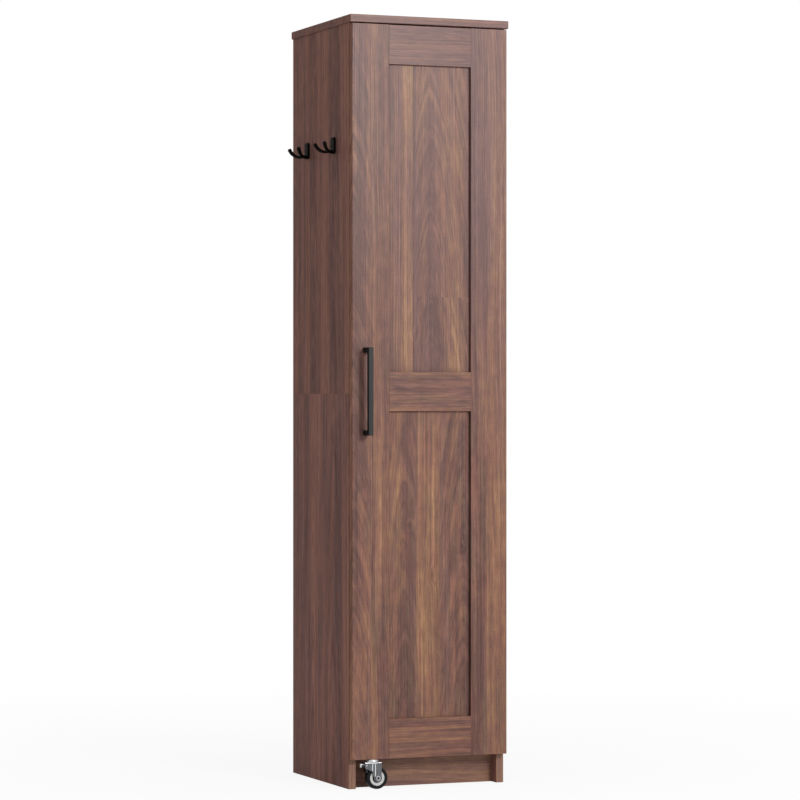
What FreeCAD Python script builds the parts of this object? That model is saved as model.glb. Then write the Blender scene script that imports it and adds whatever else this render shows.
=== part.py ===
import FreeCAD, Part
import math
import os

# Broom cupboard: a tall narrow case with one framed door. The door hangs on cup hinges at
# its right edge, and a swivel caster carries its free corner. Millimetres, +Z up.
# Origin: on the floor, mid-width, in the plane of the wall behind. The front faces -Y.

# Case sizes
WIDTH = 400.0
DEPTH = 400.0
HEIGHT = 1800.0
BOARD = 18.0
TOP_OVERHANG = 4.0
TOP_EDGE_EASE = 1.2
BOARD_EDGE_EASE = 0.6
SIDE_JOINT_HEIGHT = 920.0
HOUSING = 6.0
PLINTH_HEIGHT = 72.0
PLINTH_SETBACK = 30.0
BACK_THICK = 3.0
BACK_LAP = 8.0
BACK_PLAY = 0.5
TOP_RAIL_HEIGHT = 80.0
MIDDLE_RAIL_HEIGHT = 120.0
WALL_HOLE_RADIUS = 2.5
WALL_HOLE_SPACING = 240.0

# Shelf on pins
SHELF_DROP = 347.0
SHELF_THICK = 15.0
SHELF_SIDE_PLAY = 0.5
SHELF_FRONT_GAP = 20.0
SHELF_PIN_RADIUS = 2.5
SHELF_PIN_DEPTH = 9.0
SHELF_PIN_REACH = 8.0
SHELF_PIN_COLLAR_RADIUS = 4.0
SHELF_PIN_COLLAR_THICK = 1.5
SHELF_PIN_INSET = 50.0

# Fittings that join the case
DOWEL_RADIUS = 4.0
DOWEL_LENGTH = 40.0
DOWEL_END_PLAY = 1.0
DOWEL_INSET = 120.0
CAM_RADIUS = 7.5
CAM_DEPTH = 12.5
CAM_SLOT = 8.0
CAM_REACH = 24.0
CAM_INSET = 60.0
CAM_BOLT_RADIUS = 2.5
CAM_BOLT_HEAD_RADIUS = 3.5
CAM_BOLT_HEAD = 3.0
CAM_BOLT_BITE = 11.0
CAM_CHANNEL_RADIUS = 4.0
TIE_LENGTH = 100.0
TIE_WIDTH = 18.0
TIE_THICK = 2.0
TIE_INSET = 80.0
TIE_SCREW_SPACING = 70.0

# Door
DOOR_THICK = 19.0
DOOR_GAP = 3.0
DOOR_SIDE_INSET = 1.0
DOOR_TOP_GAP = 3.0
DOOR_BOTTOM = 70.0
MEMBER_WIDTH = 92.0
TENON_LENGTH = 14.0
TENON_THICK = 7.0
TENON_SHOULDER = 18.0
PANEL_THICK = 10.0
PANEL_LAP = 9.0
PANEL_PLAY = 0.5
DOOR_EDGE_EASE = 0.7

# Handle
HANDLE_CENTRES = 192.0
HANDLE_WIDTH = 12.0
HANDLE_DEPTH = 10.0
HANDLE_PROJECTION = 36.0
HANDLE_INSET = 32.7
HANDLE_EDGE_EASE = 1.0
HANDLE_THREAD_DEPTH = 12.0

# Cup hinges
HINGE_COUNT = 3
HINGE_END_DISTANCE = 110.0
HINGE_CUP_RADIUS = 17.5
HINGE_CUP_EDGE = 3.0
HINGE_CUP_WALL = 0.8
HINGE_RIM = 2.0
HINGE_RIM_THICK = 1.2
HINGE_PIN_EDGE = 7.2
HINGE_PIN_DEPTH = 10.0
HINGE_PIN_RADIUS = 1.5
HINGE_PIN_LENGTH = 18.0
HINGE_EYE_RADIUS = 2.6
HINGE_EYE_WIDTH = 8.0
HINGE_ARM_THICK = 2.0
HINGE_ARM_WIDTH = 14.0
HINGE_ARM_BEND = 3.0
HINGE_ARM_END = 62.0
HINGE_NECK_END = 10.0
HINGE_PLATE_THICK = 3.0
HINGE_PLATE_LENGTH = 44.0
HINGE_PLATE_WIDTH = 18.0
HINGE_WING_WIDTH = 14.0
HINGE_WING_SPAN = 48.0
HINGE_SCREW_LINE = 37.0
HINGE_SCREW_SPACING = 32.0

# Magnetic catch
CATCH_HEIGHT = 1090.0
CATCH_LENGTH = 46.0
CATCH_WIDTH = 14.0
CATCH_DEPTH = 14.0
CATCH_FLANGE_THICK = 4.7
CATCH_END_WALL = 1.0
CATCH_POLE_THICK = 2.0
CATCH_POLE_LENGTH = 24.0
CATCH_MAGNET_THICK = 5.0
CATCH_POLE_DEPTH = 8.0
CATCH_AIR_GAP = 0.3
CATCH_SCREW_SPACING = 36.0
STRIKE_LENGTH = 40.0
STRIKE_WIDTH = 13.0
STRIKE_THICK = 1.5
BUMPER_RADIUS = 5.0
BUMPER_END_DISTANCE = 40.0

# Coat hooks on the left side
HOOK_DROP = 297.0
HOOK_FRONT_INSET = 95.0
HOOK_REAR_INSET = 271.0
HOOK_PLATE_WIDTH = 20.0
HOOK_PLATE_HEIGHT = 38.0
HOOK_PLATE_THICK = 6.0
HOOK_PLATE_CORNER = 4.0
HOOK_ROOT_DROP = 14.5
HOOK_ROOT_RADIUS = 4.5
HOOK_ROOT_LENGTH = 4.0
HOOK_SPLAY_DEGREES = 46.0
HOOK_PRONG_RADIUS = 3.0
HOOK_PRONG_STRAIGHT = 16.0
HOOK_PRONG_BEND = 30.0
HOOK_PRONG_TURN_DEGREES = 60.0
HOOK_PRONG_STEPS = 4
HOOK_PRONG_SIDES = 10
HOOK_TIP_RADIUS = 4.8
HOOK_TIP_LENGTH = 6.0
HOOK_TIP_ROUND = 1.6
HOOK_SCREW_RISE = 12.0

# Caster under the door
CASTER_INSET = 52.5
CASTER_TRAIL = 10.0
WHEEL_RADIUS = 26.0
TYRE_WIDTH = 17.0
TYRE_SHOULDER = 1.5
TYRE_INNER_RADIUS = 18.0
HUB_WIDTH = 15.0
HUB_RIM = 6.5
HUB_WEB = 5.0
HUB_BOSS_RADIUS = 7.5
AXLE_RADIUS = 3.0
AXLE_HEAD_ACROSS = 10.0
AXLE_HEAD_THICK = 4.0
AXLE_NUT_THICK = 5.0
AXLE_END = 1.5
SLEEVE_RADIUS = 4.5
FORK_THICK = 2.5
FORK_SIDE_PLAY = 1.0
FORK_TOP = 63.0
FORK_PLATE_RADIUS = 16.0
FORK_LEG_TAIL = 9.5
FORK_LEG_TAIL_HEIGHT = 46.0
FORK_LEG_END_RADIUS = 9.0
FORK_LEG_LEAD = 22.0
FORK_LEG_LEAD_HEIGHT = 50.0
FORK_LEG_KNEE = 4.0
FORK_LEG_KNEE_HEIGHT = 41.0
FORK_BEND = 1.5
FORK_RIB_RADIUS = 1.5
FORK_RIB_TOP = 4.0
FORK_RIB_LEAD = 6.5
FORK_RIB_RISE = 5.0
FORK_SHORT_RIB_LEAD = 13.7
FORK_SHORT_RIB_RISE = 17.5
STEM_RADIUS = 4.0
STEM_LENGTH = 26.0
SOCKET_RADIUS = 6.0
SOCKET_LENGTH = 30.0
RACEWAY_RADIUS = 15.0
RACEWAY_CROWN = 11.0
SWIVEL_WASHER_RADIUS = 11.0
SWIVEL_WASHER_THICK = 2.0
KINGPIN_RADIUS = 4.0
KINGPIN_HEAD_RADIUS = 6.5
KINGPIN_HEAD_THICK = 2.0
BRAKE_PIVOT_LEAD = 18.0
BRAKE_PIVOT_DROP = 7.0
BRAKE_PIN_RADIUS = 1.5
BRAKE_BARREL_RADIUS = 3.0
BRAKE_SHOE_GAP = 2.0
BRAKE_SHOE_DROP = 16.5
BRAKE_ARM_THICK = 3.0
BRAKE_PEDAL_REACH = 31.0
BRAKE_PEDAL_WIDTH = 10.0
BRAKE_PEDAL_THICK = 2.5
BRAKE_PEDAL_RISE = 1.0
BRAKE_LIP = 8.5
BRAKE_SIDE_PLAY = 0.6

# Screws and other small turned pieces, drawn with few sides
HEAD_SIDES = 8
SHANK_SIDES = 6
FITTING_SIDES = 12
CUP_SIDES = 24
SCREW_RADIUS = 1.75
SCREW_LENGTH = 13.0
SCREW_HEAD_RADIUS = 3.4
SCREW_HEAD_THICK = 1.8
FLUSH_HEAD_THICK = 1.0
HANDLE_SCREW_RADIUS = 2.0
HANDLE_SCREW_HEAD_RADIUS = 4.0
HANDLE_SCREW_HEAD_THICK = 2.2

# Clearances
RUNNING_FIT = 0.05
SWING_CLEARANCE = 0.4

V = FreeCAD.Vector
UP = V(0, 0, 1)
BACKWARD = V(0, 1, 0)
FORWARD = V(0, -1, 0)
RIGHT = V(1, 0, 0)
LEFT = V(-1, 0, 0)

# Planes of the case
CASE_HALF = WIDTH / 2 - TOP_OVERHANG
INNER_HALF = CASE_HALF - BOARD
CASE_FRONT = -(DEPTH - DOOR_GAP - DOOR_THICK)
TOP_UNDER = HEIGHT - BOARD
FLOOR_TOP = PLINTH_HEIGHT + BOARD
SHELF_HEIGHT = TOP_UNDER - SHELF_DROP - SHELF_THICK
HOOK_HEIGHT = HEIGHT - HOOK_DROP
BACK_FACE = -BACK_THICK
RAIL_FRONT = BACK_FACE - BOARD

# Planes of the door
DOOR_BACK = CASE_FRONT - DOOR_GAP
DOOR_FRONT = DOOR_BACK - DOOR_THICK
DOOR_LEFT = -CASE_HALF + DOOR_SIDE_INSET
DOOR_RIGHT = CASE_HALF - DOOR_SIDE_INSET
DOOR_TOP = TOP_UNDER - DOOR_TOP_GAP
DOOR_MIDDLE = (DOOR_BOTTOM + DOOR_TOP) / 2
DOOR_CORE = (DOOR_BACK + DOOR_FRONT) / 2
OPENING_LEFT = DOOR_LEFT + MEMBER_WIDTH
OPENING_RIGHT = DOOR_RIGHT - MEMBER_WIDTH

# Rail spans, lower edge first
DOOR_RAILS = {
    "door_bottom_rail": (DOOR_BOTTOM, DOOR_BOTTOM + MEMBER_WIDTH),
    "door_middle_rail": (DOOR_MIDDLE - MEMBER_WIDTH / 2, DOOR_MIDDLE + MEMBER_WIDTH / 2),
    "door_top_rail": (DOOR_TOP - MEMBER_WIDTH, DOOR_TOP),
}
PANEL_OPENINGS = {
    "door_lower_panel": (DOOR_RAILS["door_bottom_rail"][1], DOOR_RAILS["door_middle_rail"][0]),
    "door_upper_panel": (DOOR_RAILS["door_middle_rail"][1], DOOR_RAILS["door_top_rail"][0]),
}

# Hinge places
HINGE_X = DOOR_RIGHT - HINGE_PIN_EDGE
HINGE_Y = DOOR_BACK - HINGE_PIN_DEPTH
HINGE_CUP_X = DOOR_RIGHT - HINGE_CUP_EDGE - HINGE_CUP_RADIUS
HINGE_CUP_INSIDE = HINGE_PIN_DEPTH + HINGE_EYE_RADIUS + SWING_CLEARANCE
HINGE_CUP_DEPTH = HINGE_CUP_INSIDE + HINGE_CUP_WALL
HINGE_ARM_X = INNER_HALF - HINGE_PLATE_THICK - HINGE_ARM_THICK / 2
HINGE_STEP = (DOOR_TOP - DOOR_BOTTOM - 2 * HINGE_END_DISTANCE) / (HINGE_COUNT - 1)
HINGE_HEIGHTS = [DOOR_BOTTOM + HINGE_END_DISTANCE + n * HINGE_STEP for n in range(HINGE_COUNT)]

# Handle, catch and caster places
HANDLE_X = DOOR_LEFT + HANDLE_INSET
HANDLE_POSTS = [DOOR_MIDDLE - HANDLE_CENTRES / 2, DOOR_MIDDLE + HANDLE_CENTRES / 2]
CATCH_X = -INNER_HALF + CATCH_WIDTH / 2
STRIKE_FACE = DOOR_BACK + STRIKE_THICK
SWIVEL = V(DOOR_LEFT + CASTER_INSET, DOOR_CORE, 0)
AXLE = V(SWIVEL.x + CASTER_TRAIL, SWIVEL.y, WHEEL_RADIUS)
FORK_INSIDE = TYRE_WIDTH / 2 + FORK_SIDE_PLAY
FORK_OUTSIDE = FORK_INSIDE + FORK_THICK
FORK_UNDER = FORK_TOP - FORK_THICK
BRAKE_PIVOT = V(SWIVEL.x - BRAKE_PIVOT_LEAD, SWIVEL.y, FORK_TOP - BRAKE_PIVOT_DROP)


def box(low, high):
    """A block between two opposite corners."""
    return Part.makeBox(high[0] - low[0], high[1] - low[1], high[2] - low[2], V(*low))


def rod(radius, start, end):
    """A round bar from one point to another."""
    return Part.makeCylinder(radius, (end - start).Length, start, end - start)


def bar(sides, radius, start, end):
    """A bar with a few flat sides, for small pieces that repeat."""
    turns = [2 * math.pi * n / sides for n in range(sides)]
    points = [V(radius * math.cos(turn), radius * math.sin(turn), 0) for turn in turns]
    solid = extruded(points, V(0, 0, (end - start).Length))
    solid.Placement = FreeCAD.Placement(start, FreeCAD.Rotation(UP, end - start))
    return solid


def turned(profile, base, axis):
    """A solid of revolution: (radius, distance along axis) points, starting at base."""
    points = [V(radius, 0, along) for radius, along in profile]
    solid = Part.Face(Part.makePolygon(points + points[:1])).revolve(V(), UP, 360)
    solid.Placement = FreeCAD.Placement(base, FreeCAD.Rotation(UP, axis))
    return solid


def extruded(points, along):
    """A flat outline pushed along a vector."""
    return Part.Face(Part.makePolygon(points + points[:1])).extrude(along)


def rounded_edges(solid, radius, chosen):
    """Round the edges for which chosen(edge) is true."""
    edges = [edge for edge in solid.Edges if chosen(edge)]
    return solid.makeFillet(radius, edges) if edges else solid


def eased_edges(solid, size, chosen):
    """Take the sharpness off the edges for which chosen(edge) is true."""
    edges = [edge for edge in solid.Edges if chosen(edge)]
    return solid.makeChamfer(size, edges) if edges else solid


def edge_is_along(edge, axis):
    ends = edge.Vertexes
    if len(ends) < 2:
        return False
    run = ends[1].Point - ends[0].Point
    return abs(abs(run.dot(axis)) - run.Length) < 1e-6


def edge_is_at(edge, axis, place):
    return all(abs(vertex.Point.dot(axis) - place) < 1e-6 for vertex in edge.Vertexes)


def screw(seat, into, length=SCREW_LENGTH, radius=SCREW_RADIUS,
          head=SCREW_HEAD_RADIUS, head_thick=SCREW_HEAD_THICK):
    """A screw whose head stands on the seat and whose shank runs into the wood."""
    shank = bar(SHANK_SIDES, radius, seat, seat + into * length)
    cap = bar(HEAD_SIDES, head, seat - into * head_thick, seat)
    return shank.fuse(cap).removeSplitter()


def flush_screw(seat, into):
    """A screw whose head is sunk level with the seat."""
    return screw(seat + into * FLUSH_HEAD_THICK, into, SCREW_LENGTH - FLUSH_HEAD_THICK,
                 SCREW_RADIUS, SCREW_HEAD_RADIUS, FLUSH_HEAD_THICK)


def hexagon(across, base, along):
    """A six-sided head or nut that stands on base."""
    corner = across / math.sqrt(3)
    points = [base + V(corner * math.sin(turn), 0, corner * math.cos(turn))
              for turn in (n * math.pi / 3 for n in range(6))]
    return extruded(points, along)


def cut_all(solid, tools):
    """Take several tools away from a solid."""
    return solid.cut(Part.makeCompound(tools)) if tools else solid


# Joinery of the case

def cam_places():
    """Where the top is drawn down on the sides: (side sign, y)."""
    rows = (CASE_FRONT + CAM_INSET, -CAM_INSET)
    return [(sign, y) for sign in (-1, 1) for y in rows]


def cam_bolt(sign, y):
    """A bolt that hangs from the top board, with its head down inside the cam."""
    seat = V(sign * (CASE_HALF - BOARD / 2), y, TOP_UNDER)
    foot = seat - UP * (CAM_REACH + CAM_BOLT_HEAD / 2)
    shank = bar(SHANK_SIDES, CAM_BOLT_RADIUS, foot, seat + UP * CAM_BOLT_BITE)
    head = bar(HEAD_SIDES, CAM_BOLT_HEAD_RADIUS, foot, foot + UP * CAM_BOLT_HEAD)
    return shank.fuse(head).removeSplitter()


def cam_bore(sign, y):
    face = V(sign * INNER_HALF, y, TOP_UNDER - CAM_REACH)
    return bar(FITTING_SIDES, CAM_RADIUS, face, face + V(sign * CAM_DEPTH, 0, 0))


def cam(sign, y):
    """A cam sunk in the side's inner face, open towards the bolt."""
    height = TOP_UNDER - CAM_REACH
    middle = sign * (CASE_HALF - BOARD / 2)
    slot = box((middle - CAM_SLOT / 2, y - CAM_SLOT / 2, height - CAM_SLOT / 2),
               (middle + CAM_SLOT / 2, y + CAM_SLOT / 2, height + CAM_RADIUS))
    return cam_bore(sign, y).cut(slot)


def cam_cuts(sign, y):
    """The bore for a cam and the channel for its bolt in a side board."""
    channel_top = V(sign * (CASE_HALF - BOARD / 2), y, TOP_UNDER)
    channel = bar(HEAD_SIDES, CAM_CHANNEL_RADIUS, channel_top, channel_top - UP * CAM_REACH)
    return [cam_bore(sign, y), channel]


def dowel_places(sign):
    x = sign * (CASE_HALF - BOARD / 2)
    return [V(x, CASE_FRONT + DOWEL_INSET, SIDE_JOINT_HEIGHT), V(x, -DOWEL_INSET, SIDE_JOINT_HEIGHT)]


def dowel(place, end_play=0.0):
    half = V(0, 0, DOWEL_LENGTH / 2 + end_play)
    return bar(FITTING_SIDES, DOWEL_RADIUS, place - half, place + half)


def side_joint_tie(sign):
    """A flat steel tie across the joint of the two side boards, near the front."""
    y = CASE_FRONT + TIE_INSET
    low = sign * INNER_HALF
    x0, x1 = sorted((low, low - sign * TIE_THICK))
    plate = box((x0, y - TIE_WIDTH / 2, SIDE_JOINT_HEIGHT - TIE_LENGTH / 2),
                (x1, y + TIE_WIDTH / 2, SIDE_JOINT_HEIGHT + TIE_LENGTH / 2))
    return eased_edges(plate, TIE_WIDTH / 4, lambda edge: edge_is_along(edge, RIGHT))


def tie_screws(sign):
    y = CASE_FRONT + TIE_INSET
    x = sign * (INNER_HALF - TIE_THICK)
    heights = (SIDE_JOINT_HEIGHT - TIE_SCREW_SPACING / 2, SIDE_JOINT_HEIGHT + TIE_SCREW_SPACING / 2)
    return [screw(V(x, y, z), V(sign, 0, 0)) for z in heights]


def shelf_pin(sign, y):
    """A pin pressed into the side, with a collar against the board, under the shelf."""
    face = V(sign * INNER_HALF, y, SHELF_HEIGHT - SHELF_PIN_RADIUS)
    inward = V(-sign, 0, 0)
    pin = bar(HEAD_SIDES, SHELF_PIN_RADIUS, face - inward * SHELF_PIN_DEPTH, face + inward * SHELF_PIN_REACH)
    collar = bar(HEAD_SIDES, SHELF_PIN_COLLAR_RADIUS, face, face + inward * SHELF_PIN_COLLAR_THICK)
    return pin.fuse(collar).removeSplitter()


def shelf_pins():
    rows = (CASE_FRONT + SHELF_PIN_INSET, -SHELF_PIN_INSET)
    return [shelf_pin(sign, y) for sign in (-1, 1) for y in rows]


# Boards of the case

def housed_boards():
    """Boards whose ends are let into the sides."""
    reach = INNER_HALF + HOUSING
    plinth_front = CASE_FRONT + PLINTH_SETBACK
    middle = SIDE_JOINT_HEIGHT
    return {
        "bottom_panel": box((-reach, CASE_FRONT, PLINTH_HEIGHT), (reach, BACK_FACE, FLOOR_TOP)),
        "plinth_front": box((-reach, plinth_front, 0), (reach, plinth_front + BOARD, PLINTH_HEIGHT)),
        "plinth_rear": box((-reach, -BOARD, 0), (reach, 0, PLINTH_HEIGHT)),
        "middle_rear_rail": box((-reach, RAIL_FRONT, middle - MIDDLE_RAIL_HEIGHT / 2),
                                (reach, BACK_FACE, middle + MIDDLE_RAIL_HEIGHT / 2)),
        "top_rear_rail": box((-reach, RAIL_FRONT, TOP_UNDER - TOP_RAIL_HEIGHT),
                             (reach, BACK_FACE, TOP_UNDER)),
    }


def stopped_front(name, board):
    """Cut the front corners off the floor board's tongues, so that no housing shows in front."""
    if name != "bottom_panel":
        return board
    for sign in (-1, 1):
        x0, x1 = sorted((sign * INNER_HALF, sign * (INNER_HALF + HOUSING)))
        board = board.cut(box((x0, CASE_FRONT, PLINTH_HEIGHT), (x1, CASE_FRONT + BOARD, FLOOR_TOP)))
    return board


def wall_holes():
    """Two clear holes through the top rail and the back, for the screws into the wall."""
    height = TOP_UNDER - TOP_RAIL_HEIGHT / 2
    return [rod(WALL_HOLE_RADIUS, V(x, RAIL_FRONT, height), V(x, 0, height))
            for x in (-WALL_HOLE_SPACING / 2, WALL_HOLE_SPACING / 2)]


def back_sheet(bottom, top, play):
    half = INNER_HALF + BACK_LAP - play
    return box((-half, BACK_FACE, bottom), (half, 0, top))


def side_board(sign, bottom, top, cuts):
    """One board of a side, with every housing, bore and rebate that falls in it."""
    x0, x1 = sorted((sign * INNER_HALF, sign * CASE_HALF))
    board = box((x0, CASE_FRONT, bottom), (x1, 0, top))
    board = eased_edges(board, BOARD_EDGE_EASE,
                        lambda edge: edge_is_along(edge, UP) and edge_is_at(edge, BACKWARD, CASE_FRONT))
    return cut_all(board, cuts)


def make_case(nodes):
    boards = {name: stopped_front(name, board) for name, board in housed_boards().items()}
    pins = shelf_pins()
    ties = [side_joint_tie(sign) for sign in (-1, 1)]
    tie_fixings = [fixing for sign in (-1, 1) for fixing in tie_screws(sign)]
    rebate = back_sheet(PLINTH_HEIGHT, TOP_UNDER, 0)
    bolts = [cam_bolt(sign, y) for sign, y in cam_places()]
    shared = list(boards.values()) + [rebate] + pins + tie_fixings + hinge_plate_fixings()
    shared += catch_fixings() + hook_fixings()
    for sign, name in ((-1, "left"), (1, "right")):
        holes = [dowel(place, DOWEL_END_PLAY) for place in dowel_places(sign)]
        cams = [cut for side, y in cam_places() if side == sign for cut in cam_cuts(side, y)]
        lower = side_board(sign, 0, SIDE_JOINT_HEIGHT, shared + holes)
        upper = side_board(sign, SIDE_JOINT_HEIGHT, TOP_UNDER, shared + holes + cams)
        nodes[f"{name}_side_lower"] = lower
        nodes[f"{name}_side_upper"] = upper
    boards["top_rear_rail"] = cut_all(boards["top_rear_rail"], wall_holes())
    nodes.update(boards)

    top = box((-WIDTH / 2, -DEPTH, TOP_UNDER), (WIDTH / 2, 0, HEIGHT))
    top = eased_edges(top, TOP_EDGE_EASE, lambda edge: not edge_is_at(edge, BACKWARD, 0))
    nodes["top_panel"] = cut_all(top, bolts)
    shelf_half = INNER_HALF - SHELF_PIN_COLLAR_THICK - SHELF_SIDE_PLAY
    shelf = box((-shelf_half, CASE_FRONT + SHELF_FRONT_GAP, SHELF_HEIGHT),
                (shelf_half, BACK_FACE, SHELF_HEIGHT + SHELF_THICK))
    nodes["upper_shelf"] = eased_edges(
        shelf, BOARD_EDGE_EASE,
        lambda edge: edge_is_along(edge, RIGHT) and edge_is_at(edge, BACKWARD, CASE_FRONT + SHELF_FRONT_GAP))
    nodes["back_panel_lower"] = back_sheet(PLINTH_HEIGHT, SIDE_JOINT_HEIGHT, BACK_PLAY)
    nodes["back_panel_upper"] = cut_all(back_sheet(SIDE_JOINT_HEIGHT, TOP_UNDER, BACK_PLAY), wall_holes())
    nodes["shelf_pins"] = Part.makeCompound(pins)
    nodes["side_dowels"] = Part.makeCompound(
        [dowel(place) for sign in (-1, 1) for place in dowel_places(sign)])
    nodes["cam_locks"] = Part.makeCompound([cam(sign, y) for sign, y in cam_places()])
    nodes["cam_bolts"] = Part.makeCompound(bolts)
    nodes["side_joint_ties"] = Part.makeCompound([cut_all(tie, tie_fixings) for tie in ties])
    nodes["tie_screws"] = Part.makeCompound(tie_fixings)


# Door leaf

def tenon(left_end, bottom, top):
    """A stub tenon at one end of a rail."""
    stile_edge = OPENING_LEFT if left_end else OPENING_RIGHT
    x0, x1 = sorted((stile_edge, stile_edge + (-TENON_LENGTH if left_end else TENON_LENGTH)))
    return box((x0, DOOR_CORE - TENON_THICK / 2, bottom + TENON_SHOULDER),
               (x1, DOOR_CORE + TENON_THICK / 2, top - TENON_SHOULDER))


def panel_sheet(bottom, top, play):
    """A door panel, or with no play the rebate that it lies in."""
    lap = PANEL_LAP - play
    return box((OPENING_LEFT - lap, DOOR_BACK - PANEL_THICK, bottom - lap),
               (OPENING_RIGHT + lap, DOOR_BACK, top + lap))


def make_door(nodes):
    rebates = [panel_sheet(bottom, top, 0) for bottom, top in PANEL_OPENINGS.values()]
    tenons = [tenon(left_end, *span) for span in DOOR_RAILS.values() for left_end in (True, False)]
    front = lambda edge: edge_is_at(edge, BACKWARD, DOOR_FRONT)
    for name, (bottom, top) in DOOR_RAILS.items():
        rail = box((OPENING_LEFT, DOOR_FRONT, bottom), (OPENING_RIGHT, DOOR_BACK, top))
        rail = eased_edges(rail, DOOR_EDGE_EASE, lambda edge: front(edge) and edge_is_along(edge, RIGHT))
        rail = rail.fuse([tenon(left_end, bottom, top) for left_end in (True, False)])
        nodes[name] = cut_all(rail, rebates).removeSplitter()
    stile_cuts = {
        "door_left_stile": handle_fixings() + [strike_fixing(), caster_socket_bore()],
        "door_right_stile": [hinge_cup_bore(z) for z in HINGE_HEIGHTS],
    }
    spans = {
        "door_left_stile": (DOOR_LEFT, OPENING_LEFT),
        "door_right_stile": (OPENING_RIGHT, DOOR_RIGHT),
    }
    for name, (left, right) in spans.items():
        stile = box((left, DOOR_FRONT, DOOR_BOTTOM), (right, DOOR_BACK, DOOR_TOP))
        stile = eased_edges(stile, DOOR_EDGE_EASE, lambda edge: front(edge) and edge_is_along(edge, UP))
        nodes[name] = cut_all(stile, rebates + tenons + stile_cuts[name])
    for name, (bottom, top) in PANEL_OPENINGS.items():
        nodes[name] = panel_sheet(bottom, top, PANEL_PLAY)
    places = [V(-CASE_HALF + BOARD / 2, DOOR_BACK, z)
              for z in (DOOR_BOTTOM + BUMPER_END_DISTANCE, DOOR_TOP - BUMPER_END_DISTANCE)]
    height = DOOR_GAP - SWING_CLEARANCE
    nodes["door_bumpers"] = Part.makeCompound(
        [bar(FITTING_SIDES, BUMPER_RADIUS, place, place + BACKWARD * height) for place in places])


# Handle

def handle_fixings():
    length = DOOR_THICK + HANDLE_THREAD_DEPTH
    return [screw(V(HANDLE_X, DOOR_BACK, z), FORWARD, length, HANDLE_SCREW_RADIUS,
                  HANDLE_SCREW_HEAD_RADIUS, HANDLE_SCREW_HEAD_THICK) for z in HANDLE_POSTS]


def make_handle(nodes):
    half = HANDLE_WIDTH / 2
    tip = DOOR_FRONT - HANDLE_PROJECTION
    grip = tip + HANDLE_DEPTH
    bottom = HANDLE_POSTS[0] - half
    top = HANDLE_POSTS[1] + half
    outline = [V(HANDLE_X - half, DOOR_FRONT, bottom), V(HANDLE_X - half, tip, bottom),
               V(HANDLE_X - half, tip, top), V(HANDLE_X - half, DOOR_FRONT, top),
               V(HANDLE_X - half, DOOR_FRONT, top - HANDLE_WIDTH),
               V(HANDLE_X - half, grip, top - HANDLE_WIDTH),
               V(HANDLE_X - half, grip, bottom + HANDLE_WIDTH),
               V(HANDLE_X - half, DOOR_FRONT, bottom + HANDLE_WIDTH)]
    handle = extruded(outline, V(HANDLE_WIDTH, 0, 0))
    handle = eased_edges(handle, HANDLE_EDGE_EASE, lambda edge: edge_is_at(edge, BACKWARD, tip))
    nodes["door_handle"] = cut_all(handle, handle_fixings())
    nodes["handle_screws"] = Part.makeCompound(handle_fixings())


# Cup hinges

def hinge_cup_bore(z):
    mouth = V(HINGE_CUP_X, DOOR_BACK, z)
    return bar(CUP_SIDES, HINGE_CUP_RADIUS, mouth, mouth + FORWARD * HINGE_CUP_DEPTH)


def hinge_pin(z):
    half = V(0, 0, HINGE_PIN_LENGTH / 2)
    return bar(FITTING_SIDES, HINGE_PIN_RADIUS, V(HINGE_X, HINGE_Y, z) - half, V(HINGE_X, HINGE_Y, z) + half)


def hinge_cup(z):
    """A pressed cup with a rim on the door's back, and two ears inside that hold the pin."""
    mouth = V(HINGE_CUP_X, DOOR_BACK, z)
    lip = mouth + BACKWARD * HINGE_RIM_THICK
    rim = bar(CUP_SIDES, HINGE_CUP_RADIUS + HINGE_RIM, mouth, lip)
    hollow = bar(CUP_SIDES, HINGE_CUP_RADIUS - HINGE_CUP_WALL, mouth + FORWARD * HINGE_CUP_INSIDE, lip)
    cup = hinge_cup_bore(z).fuse(rim).removeSplitter().cut(hollow)
    ears = []
    for sign in (-1, 1):
        near, far = sorted((z + sign * (HINGE_EYE_WIDTH / 2 + SWING_CLEARANCE), z + sign * HINGE_CUP_RADIUS))
        ear = box((HINGE_X - HINGE_EYE_RADIUS, DOOR_BACK - HINGE_CUP_INSIDE, near),
                  (HINGE_X + HINGE_CUP_RADIUS, HINGE_Y + HINGE_EYE_RADIUS, far))
        ears.append(ear.common(hollow))
    return cup.fuse(ears).removeSplitter().cut(hinge_pin(z))


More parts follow.
